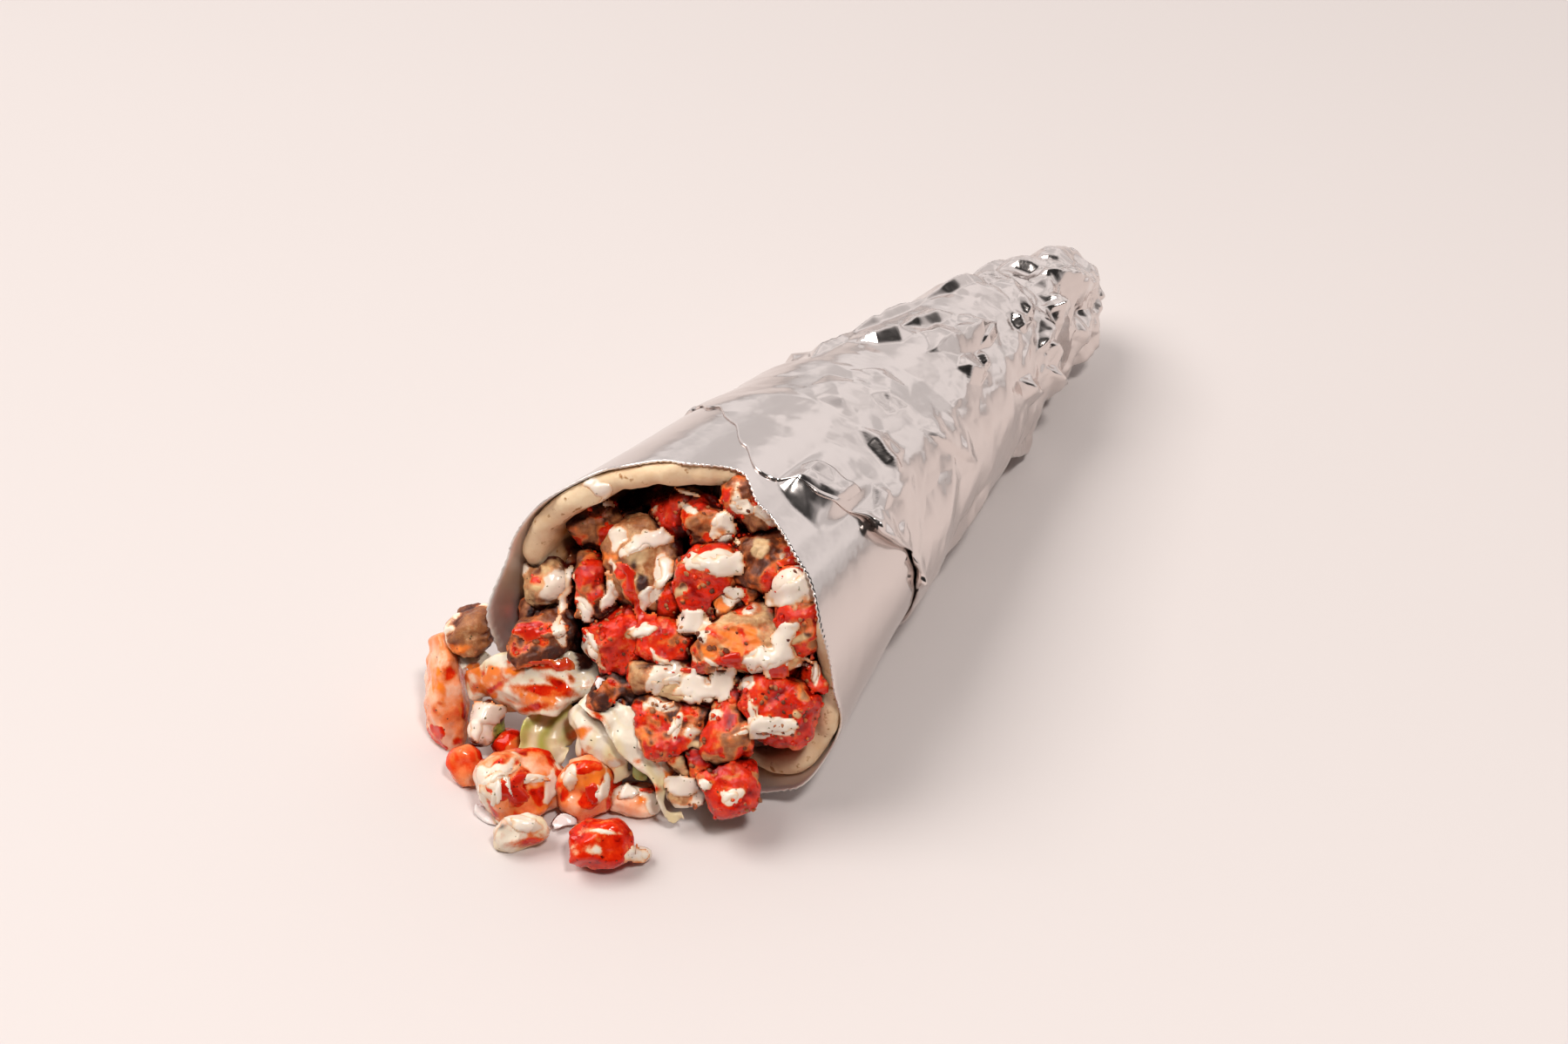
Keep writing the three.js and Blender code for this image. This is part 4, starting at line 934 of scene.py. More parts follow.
def sauced(tree, place, base, base_rough, bump_height, bump_strength):
    """Lays the sauces over a food's own colour: thin oily orange, glossy red, then thick white, and darkens
    its pits and the gaps between pieces as painted shade. Gives what the shader takes: the colour, how
    rough it is and its bumps."""
    grains = {
        name: node(tree, "TexNoise", "Fac", {
            "Vector": place, "Scale": per_metre(size), "Detail": detail, "Roughness": rough,
        })
        for name, (size, detail, rough) in SAUCE_GRAINS.items()
    }
    masks = {name: node(tree, "Attribute", "Fac", attribute_name=name) for name in SAUCE_MASKS}
    ragged = node(tree, "Math", 0, {0: grains["ragged"], 1: 0.7, 2: -0.35}, operation="MULTIPLY_ADD")

    def broken(name, low, high):
        """How far a sauce covers the food, its edge broken up by the ragged grain."""
        total = node(tree, "Math", 0, {0: masks[name], 1: ragged}, operation="ADD")
        limits = {"Value": total, "From Min": low, "From Max": high}
        return node(tree, "MapRange", "Result", limits, interpolation_type="SMOOTHSTEP")

    red = broken("red_sauce", 0.3, 0.72)
    chilli_stops = {0.3: "#8e0a02", 0.42: "#d01c06", 0.58: "#e8340c", 0.76: "#fa8c3a"}
    chilli = node(tree, "ValToRGB", "Color", {"Fac": grains["chilli"]}, chilli_stops)
    seeds = node(tree, "MapRange", "Result", {"Value": grains["seeds"], "From Min": 0.66, "From Max": 0.74})
    seeded = node(tree, "Mix", 2, {0: seeds, 6: chilli, 7: linear("#5e0c05")}, data_type="RGBA")
    # Painted shade: the red sauce darkened in the pits.
    deep = node(tree, "Mix", 2, {0: masks["pits"], 6: seeded, 7: linear("#a83c30")},
                data_type="RGBA", blend_type="MULTIPLY")
    white = broken("white_sauce", 0.05, 0.75)
    cover = node(tree, "MapRange", "Result", {"Value": white, "From Min": 0.02, "From Max": 0.5})
    cream = node(tree, "ValToRGB", "Color", {"Fac": white}, {0.1: "#f0854c", 0.45: "#f0c39a", 0.8: "#f1dfcc"})
    flecks = node(tree, "MapRange", "Result", {"Value": grains["herbs"], "From Min": 0.7, "From Max": 0.76})
    speckled = node(tree, "Mix", 2, {0: flecks, 6: cream, 7: linear("#8d7f5c")}, data_type="RGBA")
    colour = base
    for factor, over, blend in (
        (masks["tan"], linear("#dcb98a"), "MIX"),
        # Dark patches: partly dark browned meat, partly painted shade.
        (masks["dark"], linear("#3d1a12"), "MIX"),
        # Painted shade: the food's own colour darkened in the pits.
        (masks["pits"], linear("#8a5a48"), "MULTIPLY"),
        (broken("orange_sauce", 0.1, 0.9), linear("#fc842c"), "MIX"),
        (broken("red_sauce", 0.0, 0.55), linear("#e87b3a"), "MIX"),
        (red, deep, "MIX"),
        (cover, speckled, "MIX"),
        # Painted shade in the gaps between pieces: a dark red-brown multiply.
        (masks["tucked"], linear("#561408"), "MULTIPLY"),
    ):
        colour = node(tree, "Mix", 2, {0: factor, 6: colour, 7: over}, data_type="RGBA", blend_type=blend)
    wet = node(tree, "MapRange", "Result", {"Value": red, "To Min": base_rough, "To Max": 0.08})
    rough = node(tree, "Mix", 0, {0: cover, 2: wet, 3: 0.16}, data_type="FLOAT")
    bare = node(tree, "Math", 0, {0: 1.0, 1: cover}, operation="SUBTRACT")
    strength = node(tree, "Math", 0, {0: bare, 1: bump_strength, 2: 0.04}, operation="MULTIPLY_ADD")
    bumps = node(tree, "Bump", "Normal", {
        "Height": bump_height, "Strength": strength, "Distance": BUMP_DEPTH * MM,
    })
    return {"Base Color": colour, "Roughness": rough, "Normal": bumps}


# Chicken
# Thigh meat roasted in a stack and chopped: browned crust on some sides, pale torn fibres on the
# others, wet with sauce where it spills from the mouth. Each entry is browning, red cover and white
# cover.
CHICKEN = {
    "chicken_grey_cube": (0.5, 0.02, 0.12), "chicken_lip_right": (0.35, 0.78, 0.12),
    "chicken_lip_sauced": (0.2, 0.25, 0.55), "chicken_lip_cube": (0.3, 0.8, 0.05),
    "chicken_pale_cube": (0.1, 0.16, 0.3), "chicken_glossy_right": (0.5, 0.92, 0.05),
    "chicken_charred": (0.85, 0.5, 0.08), "chicken_pale_red": (0.3, 0.6, 0.2),
    "chicken_dark_left": (0.95, 0.34, 0.02), "chicken_cream_band": (0.25, 0.3, 0.5),
    "chicken_right_edge": (0.5, 0.7, 0.1), "chicken_big_cut": (0.8, 0.2, 0.04),
    "chicken_middle_left": (0.5, 0.88, 0.04), "chicken_middle": (0.5, 0.8, 0.06),
    "chicken_middle_right": (0.3, 0.48, 0.16), "chicken_far_right": (0.4, 0.86, 0.02),
    "chicken_right_sauced": (0.5, 0.72, 0.05), "chicken_ring": (0.3, 0.3, 0.35),
    "chicken_dark_middle": (0.8, 0.55, 0.02), "chicken_sauced_block": (0.4, 0.74, 0.06),
    "chicken_small_red": (0.4, 0.76, 0.04), "chicken_tilted_pale": (0.35, 0.12, 0.24),
    "chicken_left_red": (0.55, 0.52, 0.1), "chicken_left_pale": (0.2, 0.12, 0.35),
    "chicken_left_crumb": (0.6, 0.28, 0.12), "chicken_right_dark": (0.8, 0.48, 0.03),
    "chicken_red_dab": (0.5, 0.6, 0.08), "chicken_roasted_top": (0.62, 0.52, 0.02),
    "chicken_olive_top": (0.75, 0.2, 0.03), "chicken_white_top": (0.5, 0.66, 0.06),
    "chicken_top_right": (0.7, 0.36, 0.08), "chicken_top_strip": (0.85, 0.22, 0.02),
}
MEAT_CELL = 0.45
FACET_SIZE = 5.2
FACET_HEIGHT = 1.2
FIBRE_SIZE = 2.1
FIBRE_STRETCH = 0.3
TORN_SIZE = 2.5
MEAT_GRAIN = (2.8, 6.0, 0.72)
MEAT_PITS = 1.1


def meat_roughness(seed, crust):
    """The uneven surface of chopped meat: torn fibres one way, lumps and crumbs of crust."""
    lean = Matrix.Rotation(seed * 1.3, 3, "Z") @ Matrix.Rotation(seed * 0.7, 3, "X")

    def relief(points):
        fibres = points @ np.array(lean) * np.array([1.0, 1.0, FIBRE_STRETCH])
        fine = 0.4 * (0.6 - 2 * np.abs(cloud(fibres, FIBRE_SIZE, seed + 2)))
        fine += 0.5 * facets(points, TORN_SIZE, seed + 3)
        fine += (0.16 + 0.2 * crust) * cloud(points, 1.0, seed + 4)
        return 0.3 + FACET_HEIGHT * facets(points, FACET_SIZE, seed), fine

    return relief


def make_roasted_meat():
    """Roasted thigh meat: moist tan fibres under a brown crust, with small pits in its bumps and painted
    shade in its pits and gaps.
    """
    material, tree, place = new_material("roasted_chicken_thigh")
    stops = {0.05: "#e6bf8a", 0.38: "#ae7044", 0.68: "#743a20", 0.95: "#4a2013"}
    meat, grain = mottled(tree, place, MEAT_GRAIN, stops, "browning", 1.0, -0.48)
    pits = node(tree, "TexVoronoi", "Distance", {"Vector": place, "Scale": per_metre(MEAT_PITS)})
    height = node(tree, "Math", 0, {0: pits, 1: 0.4, 2: grain}, operation="MULTIPLY_ADD")
    skin = sauced(tree, place, meat, 0.42, height, 0.55)
    shader = node(tree, "BsdfPrincipled", "BSDF", {**skin, "IOR": 1.42, **soft_inside(0.06, 3, 1, 0.6)})
    node(tree, "OutputMaterial", inputs={"Surface": shader})
    return material


def slot_of(name):
    """The finish that the record gives a node."""
    return next(part["material_slot"] for part in frame["record"]["subparts"] if part["node"] == name)


meat_material = make_roasted_meat()
for seed, (name, (browning, red_cover, white_cover)) in enumerate(CHICKEN.items(), start=101):
    chunk = fine_copy(name, MEAT_CELL)
    pour_sauces(chunk, red_cover, white_cover, seed, meat_roughness(seed, browning))
    patchy = browning + 0.25 * cloud(wrap_points(chunk), 5, seed + 6)
    set_mask(chunk, "browning", np.clip(patchy, 0, 1))
    dress(chunk, meat_material, slot_of(name), name)

# The filling's core
# The rest of the chopped chicken, packed behind the pieces that show; where it shows between them
# its nearly full browning is partly browned meat and partly painted shade. It is pressed against the
# pita and the foil, so its outer side stays as smooth as they are.
CORE_CELL = 1.5
CORE_SEED = 160
PRESSED_DEPTH = 2.5
PRESSED_IN = 0.8


def pressed_by_wrap(points):
    """How much each point lies against the wrap, from 0 to 1."""
    half_width, above, middle, below = section_at(points[:, 1])
    height = points[:, 2] - middle
    out = np.hypot(points[:, 0] / half_width, height / np.where(height > 0, above, below))
    return soft_step((out - 1) * half_width, -PRESSED_DEPTH - 5, -PRESSED_DEPTH)


core = fine_copy("filling_core", CORE_CELL)
packed = wrap_points(core)
pour_sauces(core, 0.3, 0.0, CORE_SEED, meat_roughness(CORE_SEED, 1.0))
pressed = np.maximum(pressed_by_wrap(packed), soft_step(packed[:, 1], 25, 40))[:, None]
inward = packed - PRESSED_IN * vertex_values(core, "normal")
set_wrap_points(core, wrap_points(core) * (1 - pressed) + inward * pressed)
# Nearly full browning: partly browned meat, partly painted shade where the core shows in the gaps.
set_mask(core, "browning", np.full(len(core.data.vertices), 0.92))
dress(core, meat_material, "filling", "filling_core")

# Tomato
# Ripe tomato cut into wedges and dice: a thin red skin outside, wet pinkish flesh inside,
# stained by both sauces. Each entry is how pale the flesh is, red cover and white cover.
TOMATO = {
    "tomato_front": (0.1, 0.75, 0.0), "tomato_sauced": (0.5, 0.4, 0.3), "tomato_middle": (0.4, 0.42, 0.08),
    "tomato_pink": (0.85, 0.12, 0.3), "tomato_left": (0.3, 0.35, 0.05), "tomato_slice": (0.6, 0.2, 0.04),
    "tomato_dark": (0.1, 0.55, 0.02),
}
TOMATO_CELLS = (4.5, 6.0, 0.65)
TOMATO_SHADE = 0.2


def flesh_height(seed):
    """Cut tomato is nearly smooth, with soft cells and a few ridges."""
    def relief(points):
        fine = 0.24 * facets(points, 2.4, seed + 1) + 0.05 * cloud(points, 1.1, seed + 2)
        return 0.2 + 0.5 * facets(points, 5, seed), fine
    return relief


def wet_food(name, colours, rough, bump_strength, flesh):
    """A moist food: its own mottled colour under the sauces, with bumps where the mottling is."""
    material, tree, place = new_material(name)
    colour, marks = mottled(tree, place, *colours)
    skin = sauced(tree, place, colour, rough, marks, bump_strength)
    shader = node(tree, "BsdfPrincipled", "BSDF", {**skin, **flesh})
    node(tree, "OutputMaterial", inputs={"Surface": shader})
    return material


def make_tomato_flesh():
    """Wet tomato: red-orange skin and flesh that goes pink and glassy where it is cut."""
    stops = {0.05: "#f04416", 0.45: "#ff9258", 0.9: "#ffcfb0"}
    colours = (TOMATO_CELLS, stops, "pale", 1.3, -0.65)
    return wet_food("cut_tomato_flesh", colours, 0.14, 0.06, {"IOR": 1.35, **soft_inside(0.12, 4, 1.5, 1)})


def mask_values(piece, name):
    """The number that each vertex of a piece holds under a name."""
    values = np.zeros(len(piece.data.vertices), dtype=np.float32)
    piece.data.attributes[name].data.foreach_get("value", values)
    return values


tomato_material = make_tomato_flesh()
for seed, (name, (pale, red_cover, white_cover)) in enumerate(TOMATO.items(), start=201):
    wedge = fine_copy(name, MEAT_CELL)
    pour_sauces(wedge, red_cover, white_cover, seed, flesh_height(seed))
    set_mask(wedge, "pale", np.clip(pale + 0.3 * cloud(wrap_points(wedge), 5, seed + 3), 0, 1))
    set_mask(wedge, "tucked", TOMATO_SHADE * mask_values(wedge, "tucked"))
    dress(wedge, tomato_material, slot_of(name), name)

# Lettuce
# Torn inner leaves of a pale lettuce, thin and waxy, yellow-green at the heart and stained orange
# where the sauces ran over them. They hang out of the mouth over the foil's edge. Each entry is how
# green the leaf is, red cover and white cover.
LETTUCE = {
    "lettuce_ribbon": (0.15, 0.03, 0.1), "lettuce_arch": (0.2, 0.04, 0.04),
    "lettuce_inner": (0.65, 0.02, 0.04), "lettuce_scrap": (0.2, 0.12, 0.05),
    "lettuce_big": (0.08, 0.1, 0.06), "pickle_front": (0.2, 0.1, 0.45),
}
LEAF_CELL = 0.4
LEAF_SHADE = 0.12
LEAF_CURL = (6.5, 1.2)
BLADE_PATCHES = (9, 3.0, 0.5)
VEIN_SPACING = 4
HEART_ACROSS = -17.0
HEART_UP = -11.0
LEAF_RIBS = 20


def leaf_relief(points):
    """A leaf's blade keeps its thickness; only faint wrinkles run over it."""
    return 0 * points[:, 0], 0.07 * cloud(points, 1.3, 77)


def make_waxy_leaf():
    """Inner lettuce leaf: cream ribs and yellow-green blade, light shining through, a waxy gloss."""
    material, tree, place = new_material("pale_lettuce_leaf")
    stops = {0.05: "#fff3de", 0.5: "#fbe8b8", 0.95: "#cfd069"}
    leaf, _ = mottled(tree, place, BLADE_PATCHES, stops, "green", 0.8, -0.4)
    veins = node(tree, "TexVoronoi", "Distance", {"Vector": place, "Scale": per_metre(VEIN_SPACING)},
                 feature="DISTANCE_TO_EDGE")
    skin = sauced(tree, place, leaf, 0.22, veins, 0.12)
    body = node(tree, "BsdfPrincipled", "BSDF", skin)
    through = node(tree, "BsdfTranslucent", "BSDF", {"Color": skin["Base Color"]})
    both = node(tree, "MixShader", "Shader", {0: 0.2, 1: body, 2: through})
    node(tree, "OutputMaterial", inputs={"Surface": both})
    return material


leaf_material = make_waxy_leaf()
for seed, (name, (green, red_cover, white_cover)) in enumerate(LETTUCE.items(), start=301):
    leaf = fine_copy(name, LEAF_CELL)
    set_wrap_points(leaf, warped(wrap_points(leaf), *LEAF_CURL, seed))
    pour_sauces(leaf, red_cover, white_cover, seed, leaf_relief, 0.2, 1.2)
    points = wrap_points(leaf)
    across, up = seen_by_eye(points)
    round_heart = np.arctan2(up - HEART_UP, across - HEART_ACROSS)
    ribs = np.cos(LEAF_RIBS * round_heart + 4 * cloud(points, 5, seed + 3))
    set_mask(leaf, "green", np.clip(green + 0.3 * cloud(points, 9, seed + 2) + 0.22 * ribs, 0, 1))
    set_mask(leaf, "tucked", LEAF_SHADE * mask_values(leaf, "tucked"))
    dress(leaf, leaf_material, slot_of(name), name)

# Cucumber
# Short lengths of cucumber with watery pale flesh inside a green skin, wet with white sauce. Each
# entry is how green it is and its white cover.
CUCUMBER = {"cucumber_left": (0.2, 0.2), "cucumber_front": (0.1, 0.12)}
CUCUMBER_FLESH = (6.5, 2.0, 0.5)


def make_cucumber():
    """Cucumber: pale glassy flesh that deepens to yellow-green towards the skin."""
    colours = (CUCUMBER_FLESH, {0.1: "#eff0d8", 0.9: "#98a044"}, "green", 0.4, -0.2)
    return wet_food("cut_cucumber", colours, 0.25, 0.12, soft_inside(0.25, 4, 5, 2))


cucumber_material = make_cucumber()
for seed, (name, (green, white_cover)) in enumerate(CUCUMBER.items(), start=401):
    slice_piece = fine_copy(name, MEAT_CELL)
    pour_sauces(slice_piece, 0.0, white_cover, seed, flesh_height(seed))
    across = seen_by_eye(wrap_points(slice_piece))[0]
    set_mask(slice_piece, "green", np.clip(green + 0.7 * soft_step(across, -42, -38), 0, 1))
    dress(slice_piece, cucumber_material, slot_of(name), name)

# Onion and carrot
# Slivers of raw onion, watery and white, and one short strip of carrot under the pita's edge.
SLIVER_CELL = 0.3
ONION_LINES = (3, 2.0, 0.5)
CARROT_RINGS = (2, 2.0, 0.5)


def make_raw_onion():
    """Raw onion: watery white layers that let light into them, with faint lengthwise lines."""
    colours = (ONION_LINES, {0: "#e9dcd8", 1: "#faf3ee"})
    return wet_food("raw_onion", colours, 0.2, 0.1, soft_inside(0.3, 4, 4, 4))


def make_raw_carrot():
    """Raw carrot: bright orange, faintly ringed, wet."""
    return wet_food("raw_carrot", (CARROT_RINGS, {0: "#c8561a", 1: "#f08a35"}), 0.3, 0.2, {})


onion_material = make_raw_onion()
carrot_material = make_raw_carrot()
for seed, name in enumerate(("onion_front", "onion_left", "onion_middle", "carrot_strip"), start=501):
    sliver = fine_copy(name, SLIVER_CELL)
    pour_sauces(sliver, 0.05, 0.0, seed, leaf_relief, 0.15)
    dress(sliver, carrot_material if name == "carrot_strip" else onion_material, slot_of(name), name)

# Thick sauce
# Garlic yogurt sauce and chilli sauce spooned over the filling: smooth thick pools that run over
# several pieces at once, bridge the narrow gaps between them and thin out at their edges.
POUR_STEP = 0.4
POUR_LEFT, POUR_RIGHT = -52.0, 42.0
POUR_LOW, POUR_HIGH = -53.0, 38.0
POOL_EDGE = [(0.7, 4.2), (0.45, 1.9), (0.2, 0.9)]
POOL_RUN = [(1.5, 4.8), (0.6, 2.2)]
POOL_SWELL = (0.3, 2.6)
BRIDGED_CELLS = 4
BRIDGE_PASSES = 6
SAME_SKIN = 2.2
STEEPEST = 1.5
SUNK = 0.35
POOL_SOLE = 0.25
NOTHING_MET = LOOK_DISTANCE + 90.0
PITA_DRIPS = [(-14.4, 33.4, 3.6, 1.5, -68), (-13.2, 30, 1.5, 1.4, 0), (-16, 35.6, 2, 1.1, 0)]
SAUCE_STREAKS = (3, 4.0, 0.5)
SAUCE_SPECKS = 1.2


def shifted(grid, rows, columns):
    """A grid moved by whole cells, its border repeated."""
    reach = max(abs(rows), abs(columns))
    wide = np.pad(grid, reach, mode="edge")
    first_row, first_column = reach + rows, reach + columns
    return wide[first_row:first_row + grid.shape[0], first_column:first_column + grid.shape[1]]


def bridged(depth):
    """A depth grid whose narrow gaps are closed and whose small bumps are smoothed."""
    cells = range(-BRIDGED_CELLS, BRIDGED_CELLS + 1)
    disc = [(a, b) for a in cells for b in cells if a * a + b * b <= BRIDGED_CELLS ** 2]
    nearest = np.min([shifted(depth, a, b) for a, b in disc], axis=0)
    closed = np.max([shifted(nearest, a, b) for a, b in disc], axis=0)
    for _ in range(BRIDGE_PASSES):
        around = np.stack([shifted(closed, a, b) for a in (-1, 0, 1) for b in (-1, 0, 1)])
        near = np.abs(around - closed) < SAME_SKIN
        closed = np.sum(around * near, axis=0) / np.sum(near, axis=0)
    return closed


def four_corners(grid):
    """The values at the four corners of each cell of a grid."""
    return np.stack([grid[:-1, :-1], grid[1:, :-1], grid[:-1, 1:], grid[1:, 1:]])


def inside_streaks(plane, across, up, streaks, seed):
    """How far inside the ragged outline of a sauce each place of the looker's view lies."""
    ragged = clouds(plane, seed, POOL_EDGE) - 0.2
    run_across = across + clouds(plane, seed + 5, POOL_RUN)
    run_up = up + clouds(plane, seed + 7, POOL_RUN)
    inside = np.full(across.shape, -1.0)
    for streak in streaks:
        reach = oval_reach(run_across, run_up, streak) + ragged
        inside = np.maximum(inside, (1 - reach) * min(streak[3], 2.0))
    return inside


def skin_behind(sight, inside, tree):
    """How far from the looker the food's bridged skin lies along each line of sight near a pool."""
    depth = np.full(inside.shape, NOTHING_MET)
    reach = BRIDGED_CELLS + 2
    steps = (-reach, 0, reach)
    nearby = np.max([shifted(inside, a, b) for a in steps for b in steps], axis=0)
    for row, column in np.argwhere(nearby > 0):
        met = tree.ray_cast(Vector(eye), Vector(sight[row, column]), NOTHING_MET)
        if met[0] is not None:
            depth[row, column] = met[3]
    return bridged(depth)


def closed_faces(kept, width, count):
    """Faces of an upper sheet, of the sheet under it and of the rims that join them, cell by cell."""
    faces = []
    padded = np.pad(kept, 1)
    for row, column in np.argwhere(kept):
        a = row * width + column
        b, c, d = a + 1, a + width + 1, a + width
        faces.append((a, b, c, d))
        faces.append((a + count, d + count, c + count, b + count))
        for open_side, (first, last) in (
            (padded[row, column + 1], (a, b)), (padded[row + 1, column + 2], (b, c)),
            (padded[row + 2, column + 1], (c, d)), (padded[row + 1, column], (d, a)),
        ):
            if not open_side:
                faces.append((last, first, first + count, last + count))
    return faces


def pour_pool(name, streaks, thickness, tree, seed):
    """One sauce as closed pools that lie on the skins under its streaks."""
    columns = np.arange(POUR_LEFT, POUR_RIGHT, POUR_STEP)
    rows = np.arange(POUR_LOW, POUR_HIGH, POUR_STEP)
    across, up = np.meshgrid(columns, rows)
    plane = MOUTH_CENTRE + across[..., None] * to_right + up[..., None] * to_top
    inside = inside_streaks(plane, across, up, streaks, seed)
    sight = plane - eye
    sight /= np.linalg.norm(sight, axis=-1)[..., None]
    skin = skin_behind(sight, inside, tree)
    swell_height, swell_size = POOL_SWELL
    swell = np.clip(inside / (1.5 * thickness), 0, 1) ** 0.75
    swell *= 1 + swell_height * cloud(plane, swell_size, seed + 2)
    upper = skin + SUNK - (thickness + SUNK) * swell
    lower = skin + SUNK + POOL_SOLE
    depths = four_corners(skin)
    kept = (four_corners(inside).min(axis=0) > 0) & (np.ptp(depths, axis=0) < STEEPEST)
    kept &= depths.max(axis=0) < NOTHING_MET - 5
    sheets = [(eye + sight * depth[..., None]).reshape(-1, 3) for depth in (upper, lower)]
    faces = closed_faces(kept, across.shape[1], across.size)
    used = np.unique(np.array([index for face in faces for index in face]))
    order = np.zeros(2 * across.size, dtype=int)
    order[used] = np.arange(len(used))
    piece = mesh_piece(name, np.concatenate(sheets)[used], [tuple(order[list(face)]) for face in faces])
    set_mask(piece, "middle", np.clip(np.tile(inside.ravel(), 2)[used], 0, 2))
    return piece


def make_thick_sauce(name, stops, fleck_colour, rough):
    """Thick sauce: tinted by the oil at its thin edge, even in its body, with a few specks in it."""
    material, tree, place = new_material(name)
    tint, streaky = mottled(tree, place, SAUCE_STREAKS, stops, "middle", 1.5, -0.75)
    specks = node(tree, "TexNoise", "Fac", {"Vector": place, "Scale": per_metre(SAUCE_SPECKS), "Detail": 1.0})
    flecks = node(tree, "MapRange", "Result", {"Value": specks, "From Min": 0.69, "From Max": 0.75})
    flecked = node(tree, "Mix", 2, {0: flecks, 6: tint, 7: linear(fleck_colour)}, data_type="RGBA")
    bump = node(tree, "Bump", "Normal", {"Height": streaky, "Strength": 0.1, "Distance": 0.4 * MM})
    shader = node(tree, "BsdfPrincipled", "BSDF", {
        "Base Color": flecked, "Roughness": rough, "Normal": bump, **soft_inside(0.15, 3, 2, 1),
    })
    node(tree, "OutputMaterial", inputs={"Surface": shader})
    return material


def pieces_of(*names):
    """The pieces that stand for nodes."""
    return [bpy.data.objects[name + "_piece"] for name in names]


filling_pieces = pieces_of(*CHICKEN, *TOMATO, *LETTUCE, *CUCUMBER, "carrot_strip")
resting_skins = search_tree([
    (wrap_points(piece), piece.data.polygons) for piece in [*filling_pieces, core, pita_piece]
])
yogurt_stops = {0.12: "#ea8a50", 0.45: "#f2caa4", 0.95: "#f5e4d4"}
yogurt_material = make_thick_sauce("garlic_yogurt_sauce", yogurt_stops, "#8d7c58", 0.13)
white_pool = pour_pool("white_sauce_pools", WHITE_STREAKS + PITA_DRIPS, 0.8, resting_skins, 81)
dress(white_pool, yogurt_material, "chicken_white_sauced")
chilli_stops = {0.12: "#ef7a3a", 0.45: "#e2421c", 0.95: "#c4200e"}
chilli_material = make_thick_sauce("chilli_sauce", chilli_stops, "#7a1408", 0.12)
pooled_red = [streak for streak in RED_STREAKS if not (streak[0] < -14 and -33 < streak[1] < -10)]
red_pool = pour_pool("chilli_sauce_pools", pooled_red, 0.55, resting_skins, 84)
dress(red_pool, chilli_material, "chicken_red_sauced")

# Crumbs and herbs
# Bits of browned meat and chilli that came off in the pan cling to the wet pieces, with flakes of
# dried herb and pepper on the white sauce and the leaves.
CRUMB_COUNT = 520
HERB_COUNT = 200
HERB_BATCHES = (2, 1.0, 0.5)
TURNED_TO_LOOKER = 0.25
NEXT_CORNER = 1.1


def scattered(name, carriers, count, seed, least, most, flatness, least_red):
    """Many small broken bits on the outer skin of the pieces that carry them, joined in one mesh."""
    random = np.random.default_rng(seed)
    spots = np.concatenate([wrap_points(piece) for piece in carriers])
    skins = np.concatenate([vertex_values(piece, "normal") for piece in carriers])
    held = np.concatenate([mask_values(piece, "red_sauce") for piece in carriers])
    open_side = np.nonzero((skins @ toward_eye > TURNED_TO_LOOKER) & (held >= least_red))[0]
    picks = random.choice(open_side, count, replace=False)
    long = (1 + math.sqrt(5)) / 2
    signs = list(itertools.product((-1, 1), repeat=2))
    ball = np.array([(a, b * long, 0) for a, b in signs] + [(0, a, b * long) for a, b in signs]
                    + [(b * long, 0, a) for a, b in signs])
    ball /= np.linalg.norm(ball[0])

    def is_side(corners):
        """Whether three corners of the ball lie next to each other."""
        pairs = itertools.combinations(corners, 2)
        return all(np.linalg.norm(ball[a] - ball[b]) < NEXT_CORNER for a, b in pairs)

    sides = [corners for corners in itertools.combinations(range(12), 3) if is_side(corners)]
    points, faces = [], []
    for pick in picks:
        size = random.uniform(least, most)
        lumpy = ball * random.uniform(0.7, 1.25, (12, 1)) * size
        lumpy *= np.array([1, random.uniform(0.5, 1), 1])
        up = skins[pick]
        lumpy -= (1 - flatness) * (lumpy @ up)[:, None] * up
        start = len(points) * 12
        points.append(lumpy + spots[pick] + up * 0.2 * size * flatness)
        faces += [tuple(start + index for index in side) for side in sides]
    return mesh_piece(name, np.concatenate(points), faces)


def make_dried_herb():
    """Dried herb and cracked pepper: dull flakes from dark green to black-brown."""
    material, tree, place = new_material("dried_herb_flakes")
    tint, _ = mottled(tree, place, HERB_BATCHES, {0.35: "#2a1c12", 0.65: "#5d5a2c"})
    shader = node(tree, "BsdfPrincipled", "BSDF", {"Base Color": tint, "Roughness": 0.6})
    node(tree, "OutputMaterial", inputs={"Surface": shader})
    return material


wet_meat = pieces_of(*CHICKEN)
crumbs = scattered("meat_crumbs", wet_meat, CRUMB_COUNT, 71, 0.25, 0.85, 0.7, 0.25)
crumb_points = wrap_points(crumbs)
set_mask(crumbs, "browning", 0.6 + 0.4 * cloud(crumb_points, 3, 72))
set_mask(crumbs, "red_sauce", soft_step(cloud(crumb_points, 4, 73), -0.3, 0.1))
dress(crumbs, meat_material, "chicken_browned")
herb_carriers = pieces_of(*LETTUCE, *TOMATO, *CUCUMBER) + wet_meat
herbs = scattered("herb_flakes", herb_carriers, HERB_COUNT, 74, 0.12, 0.28, 0.25, 0.0)
dress(herbs, make_dried_herb(), "filling")

# Floor and light
# A plain pale floor, a large soft lamp above on the left, a smaller one in front for the wet glints,
# and a bright room that is dim on the looker's side, so that folds that turn to the looker go dark.
FLOOR_SIDE = 8.0
FLOOR_MOTTLE = (330, 2.0, 0.5)
LAMP_DISTANCE = 1.8
SOFT_LAMP = (1.1, 26.0)
FRONT_LAMP = (0.24, 17.0)
LAMP_COLOUR = (1.0, 0.97, 0.94)


def make_floor_paint():
    """Matt paint: warm white with barely visible mottling."""
    material, tree, place = new_material("matt_white_paint")
    tint, _ = mottled(tree, place, FLOOR_MOTTLE, {0: "#d4cbc8", 1: "#d7cecb"})
    shader = node(tree, "BsdfPrincipled", "BSDF", {"Base Color": tint, "Roughness": 0.8})
    node(tree, "OutputMaterial", inputs={"Surface": shader})
    return material


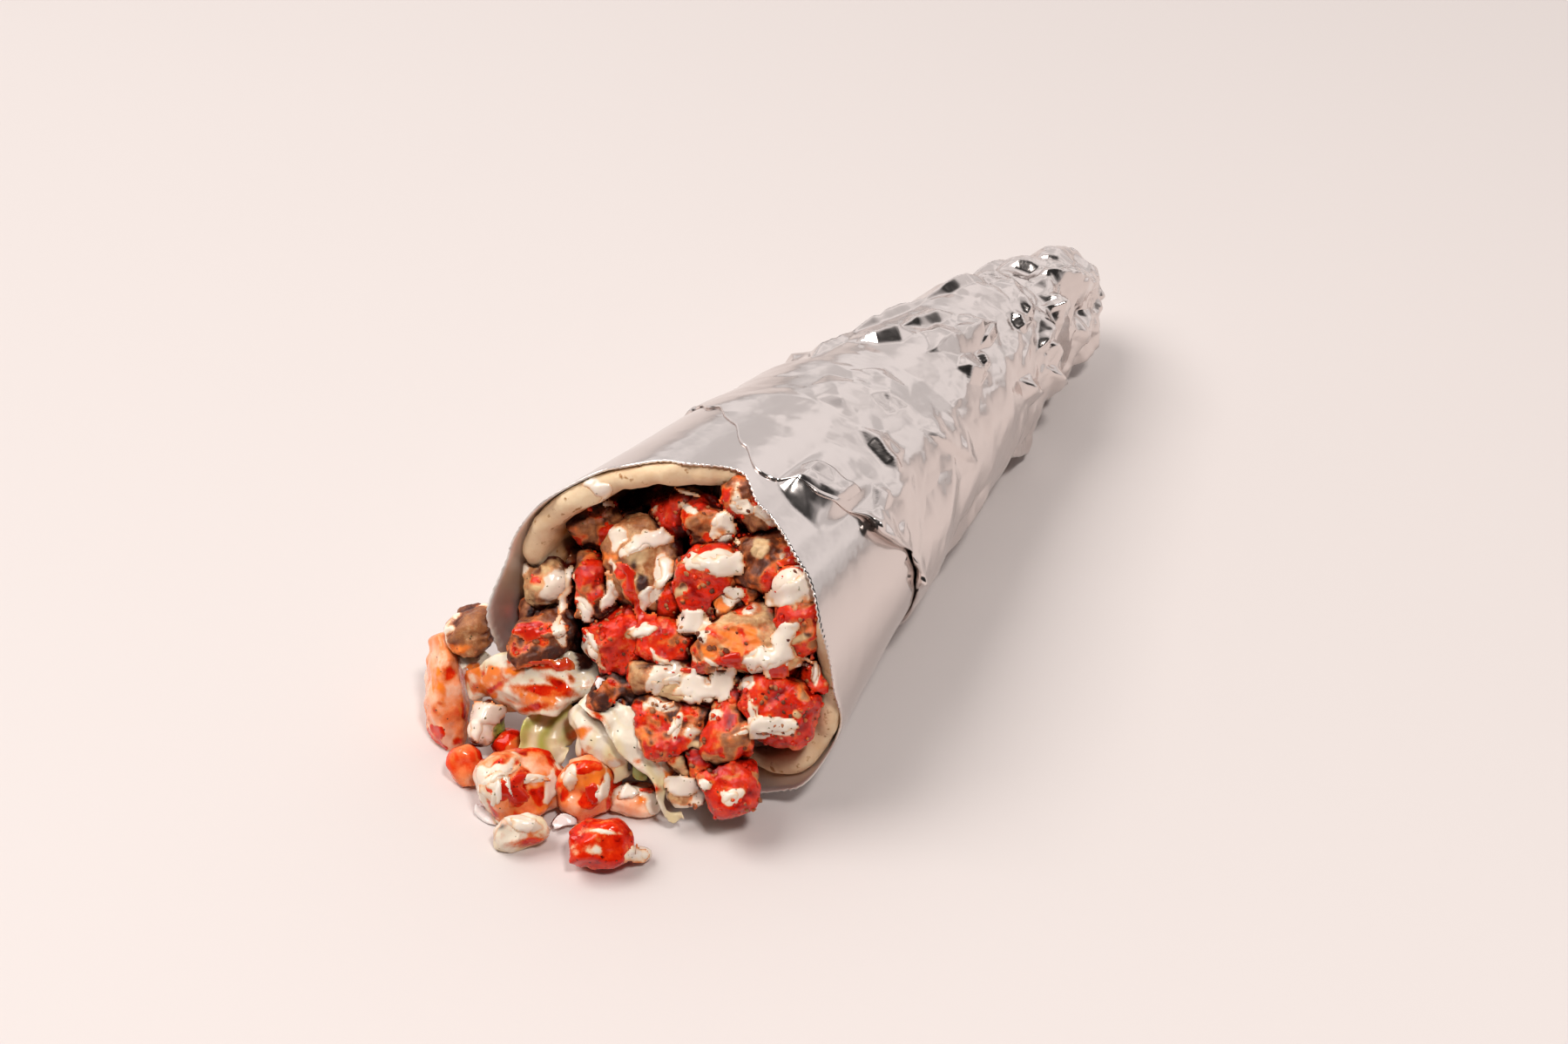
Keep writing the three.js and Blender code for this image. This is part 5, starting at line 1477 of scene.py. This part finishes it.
half_side = FLOOR_SIDE / 2
floor_mesh = bpy.data.meshes.new("table_top")
floor_corners = [(a * half_side, b * half_side, 0) for a, b in ((-1, -1), (1, -1), (1, 1), (-1, 1))]
floor_mesh.from_pydata(floor_corners, [], [(0, 1, 2, 3)])
floor_mesh.materials.append(make_floor_paint())
floor = bpy.data.objects.new("table_top", floor_mesh)
bpy.context.scene.collection.objects.link(floor)


def add_lamp(name, side, energy, way):
    """A square area lamp that shines on the mouth from a direction."""
    lamp_data = bpy.data.lights.new(name, "AREA")
    lamp_data.shape = "SQUARE"
    lamp_data.size = side
    lamp_data.energy = energy
    lamp_data.color = LAMP_COLOUR
    lamp = bpy.data.objects.new(name, lamp_data)
    lamp.location = Vector(in_part(MOUTH_CENTRE)) + way * LAMP_DISTANCE
    lamp.rotation_euler = way.to_track_quat("Z", "Y").to_euler()
    bpy.context.scene.collection.objects.link(lamp)


soft_way = Vector(-0.5 * to_right + 0.7 * to_top + 0.5 * toward_eye).normalized()
front_way = Vector(0.22 * to_right + 0.4 * to_top + 0.88 * toward_eye).normalized()
add_lamp("soft_lamp", *SOFT_LAMP, soft_way)
add_lamp("front_lamp", *FRONT_LAMP, front_way)

room = bpy.data.worlds.new("room")
room.use_nodes = True
tree = room.node_tree
tree.nodes.clear()
bpy.context.scene.world = room
way = node(tree, "TexCoord", "Generated")
to_looker = node(tree, "VectorMath", "Value", {0: way, 1: tuple(toward_eye)}, operation="DOT_PRODUCT")
dim = node(tree, "MapRange", "Result", {
    "Value": to_looker, "From Min": 0.05, "From Max": 0.6, "To Min": 0.94, "To Max": 0.03,
}, interpolation_type="SMOOTHSTEP")
to_lamp = node(tree, "VectorMath", "Value", {0: way, 1: tuple(soft_way)}, operation="DOT_PRODUCT")
side = node(tree, "MapRange", "Result", {
    "Value": to_lamp, "From Min": -0.8, "From Max": 0.6, "To Min": 0.95, "To Max": 1.1,
})
panels = node(tree, "TexNoise", "Fac", {"Vector": way, "Scale": 4.0, "Detail": 1.0})
walls = node(tree, "MapRange", "Result", {
    "Value": panels, "From Min": 0.42, "From Max": 0.58, "To Min": 0.74, "To Max": 1.04,
}, interpolation_type="SMOOTHSTEP")
lit = node(tree, "Math", 0, {0: walls, 1: side}, operation="MULTIPLY")
strength = node(tree, "Math", 0, {0: dim, 1: lit}, operation="MULTIPLY")
glow = node(tree, "Background", "Background", {"Color": linear("#fdf9f8"), "Strength": strength})
node(tree, "OutputWorld", inputs={"Surface": glow})
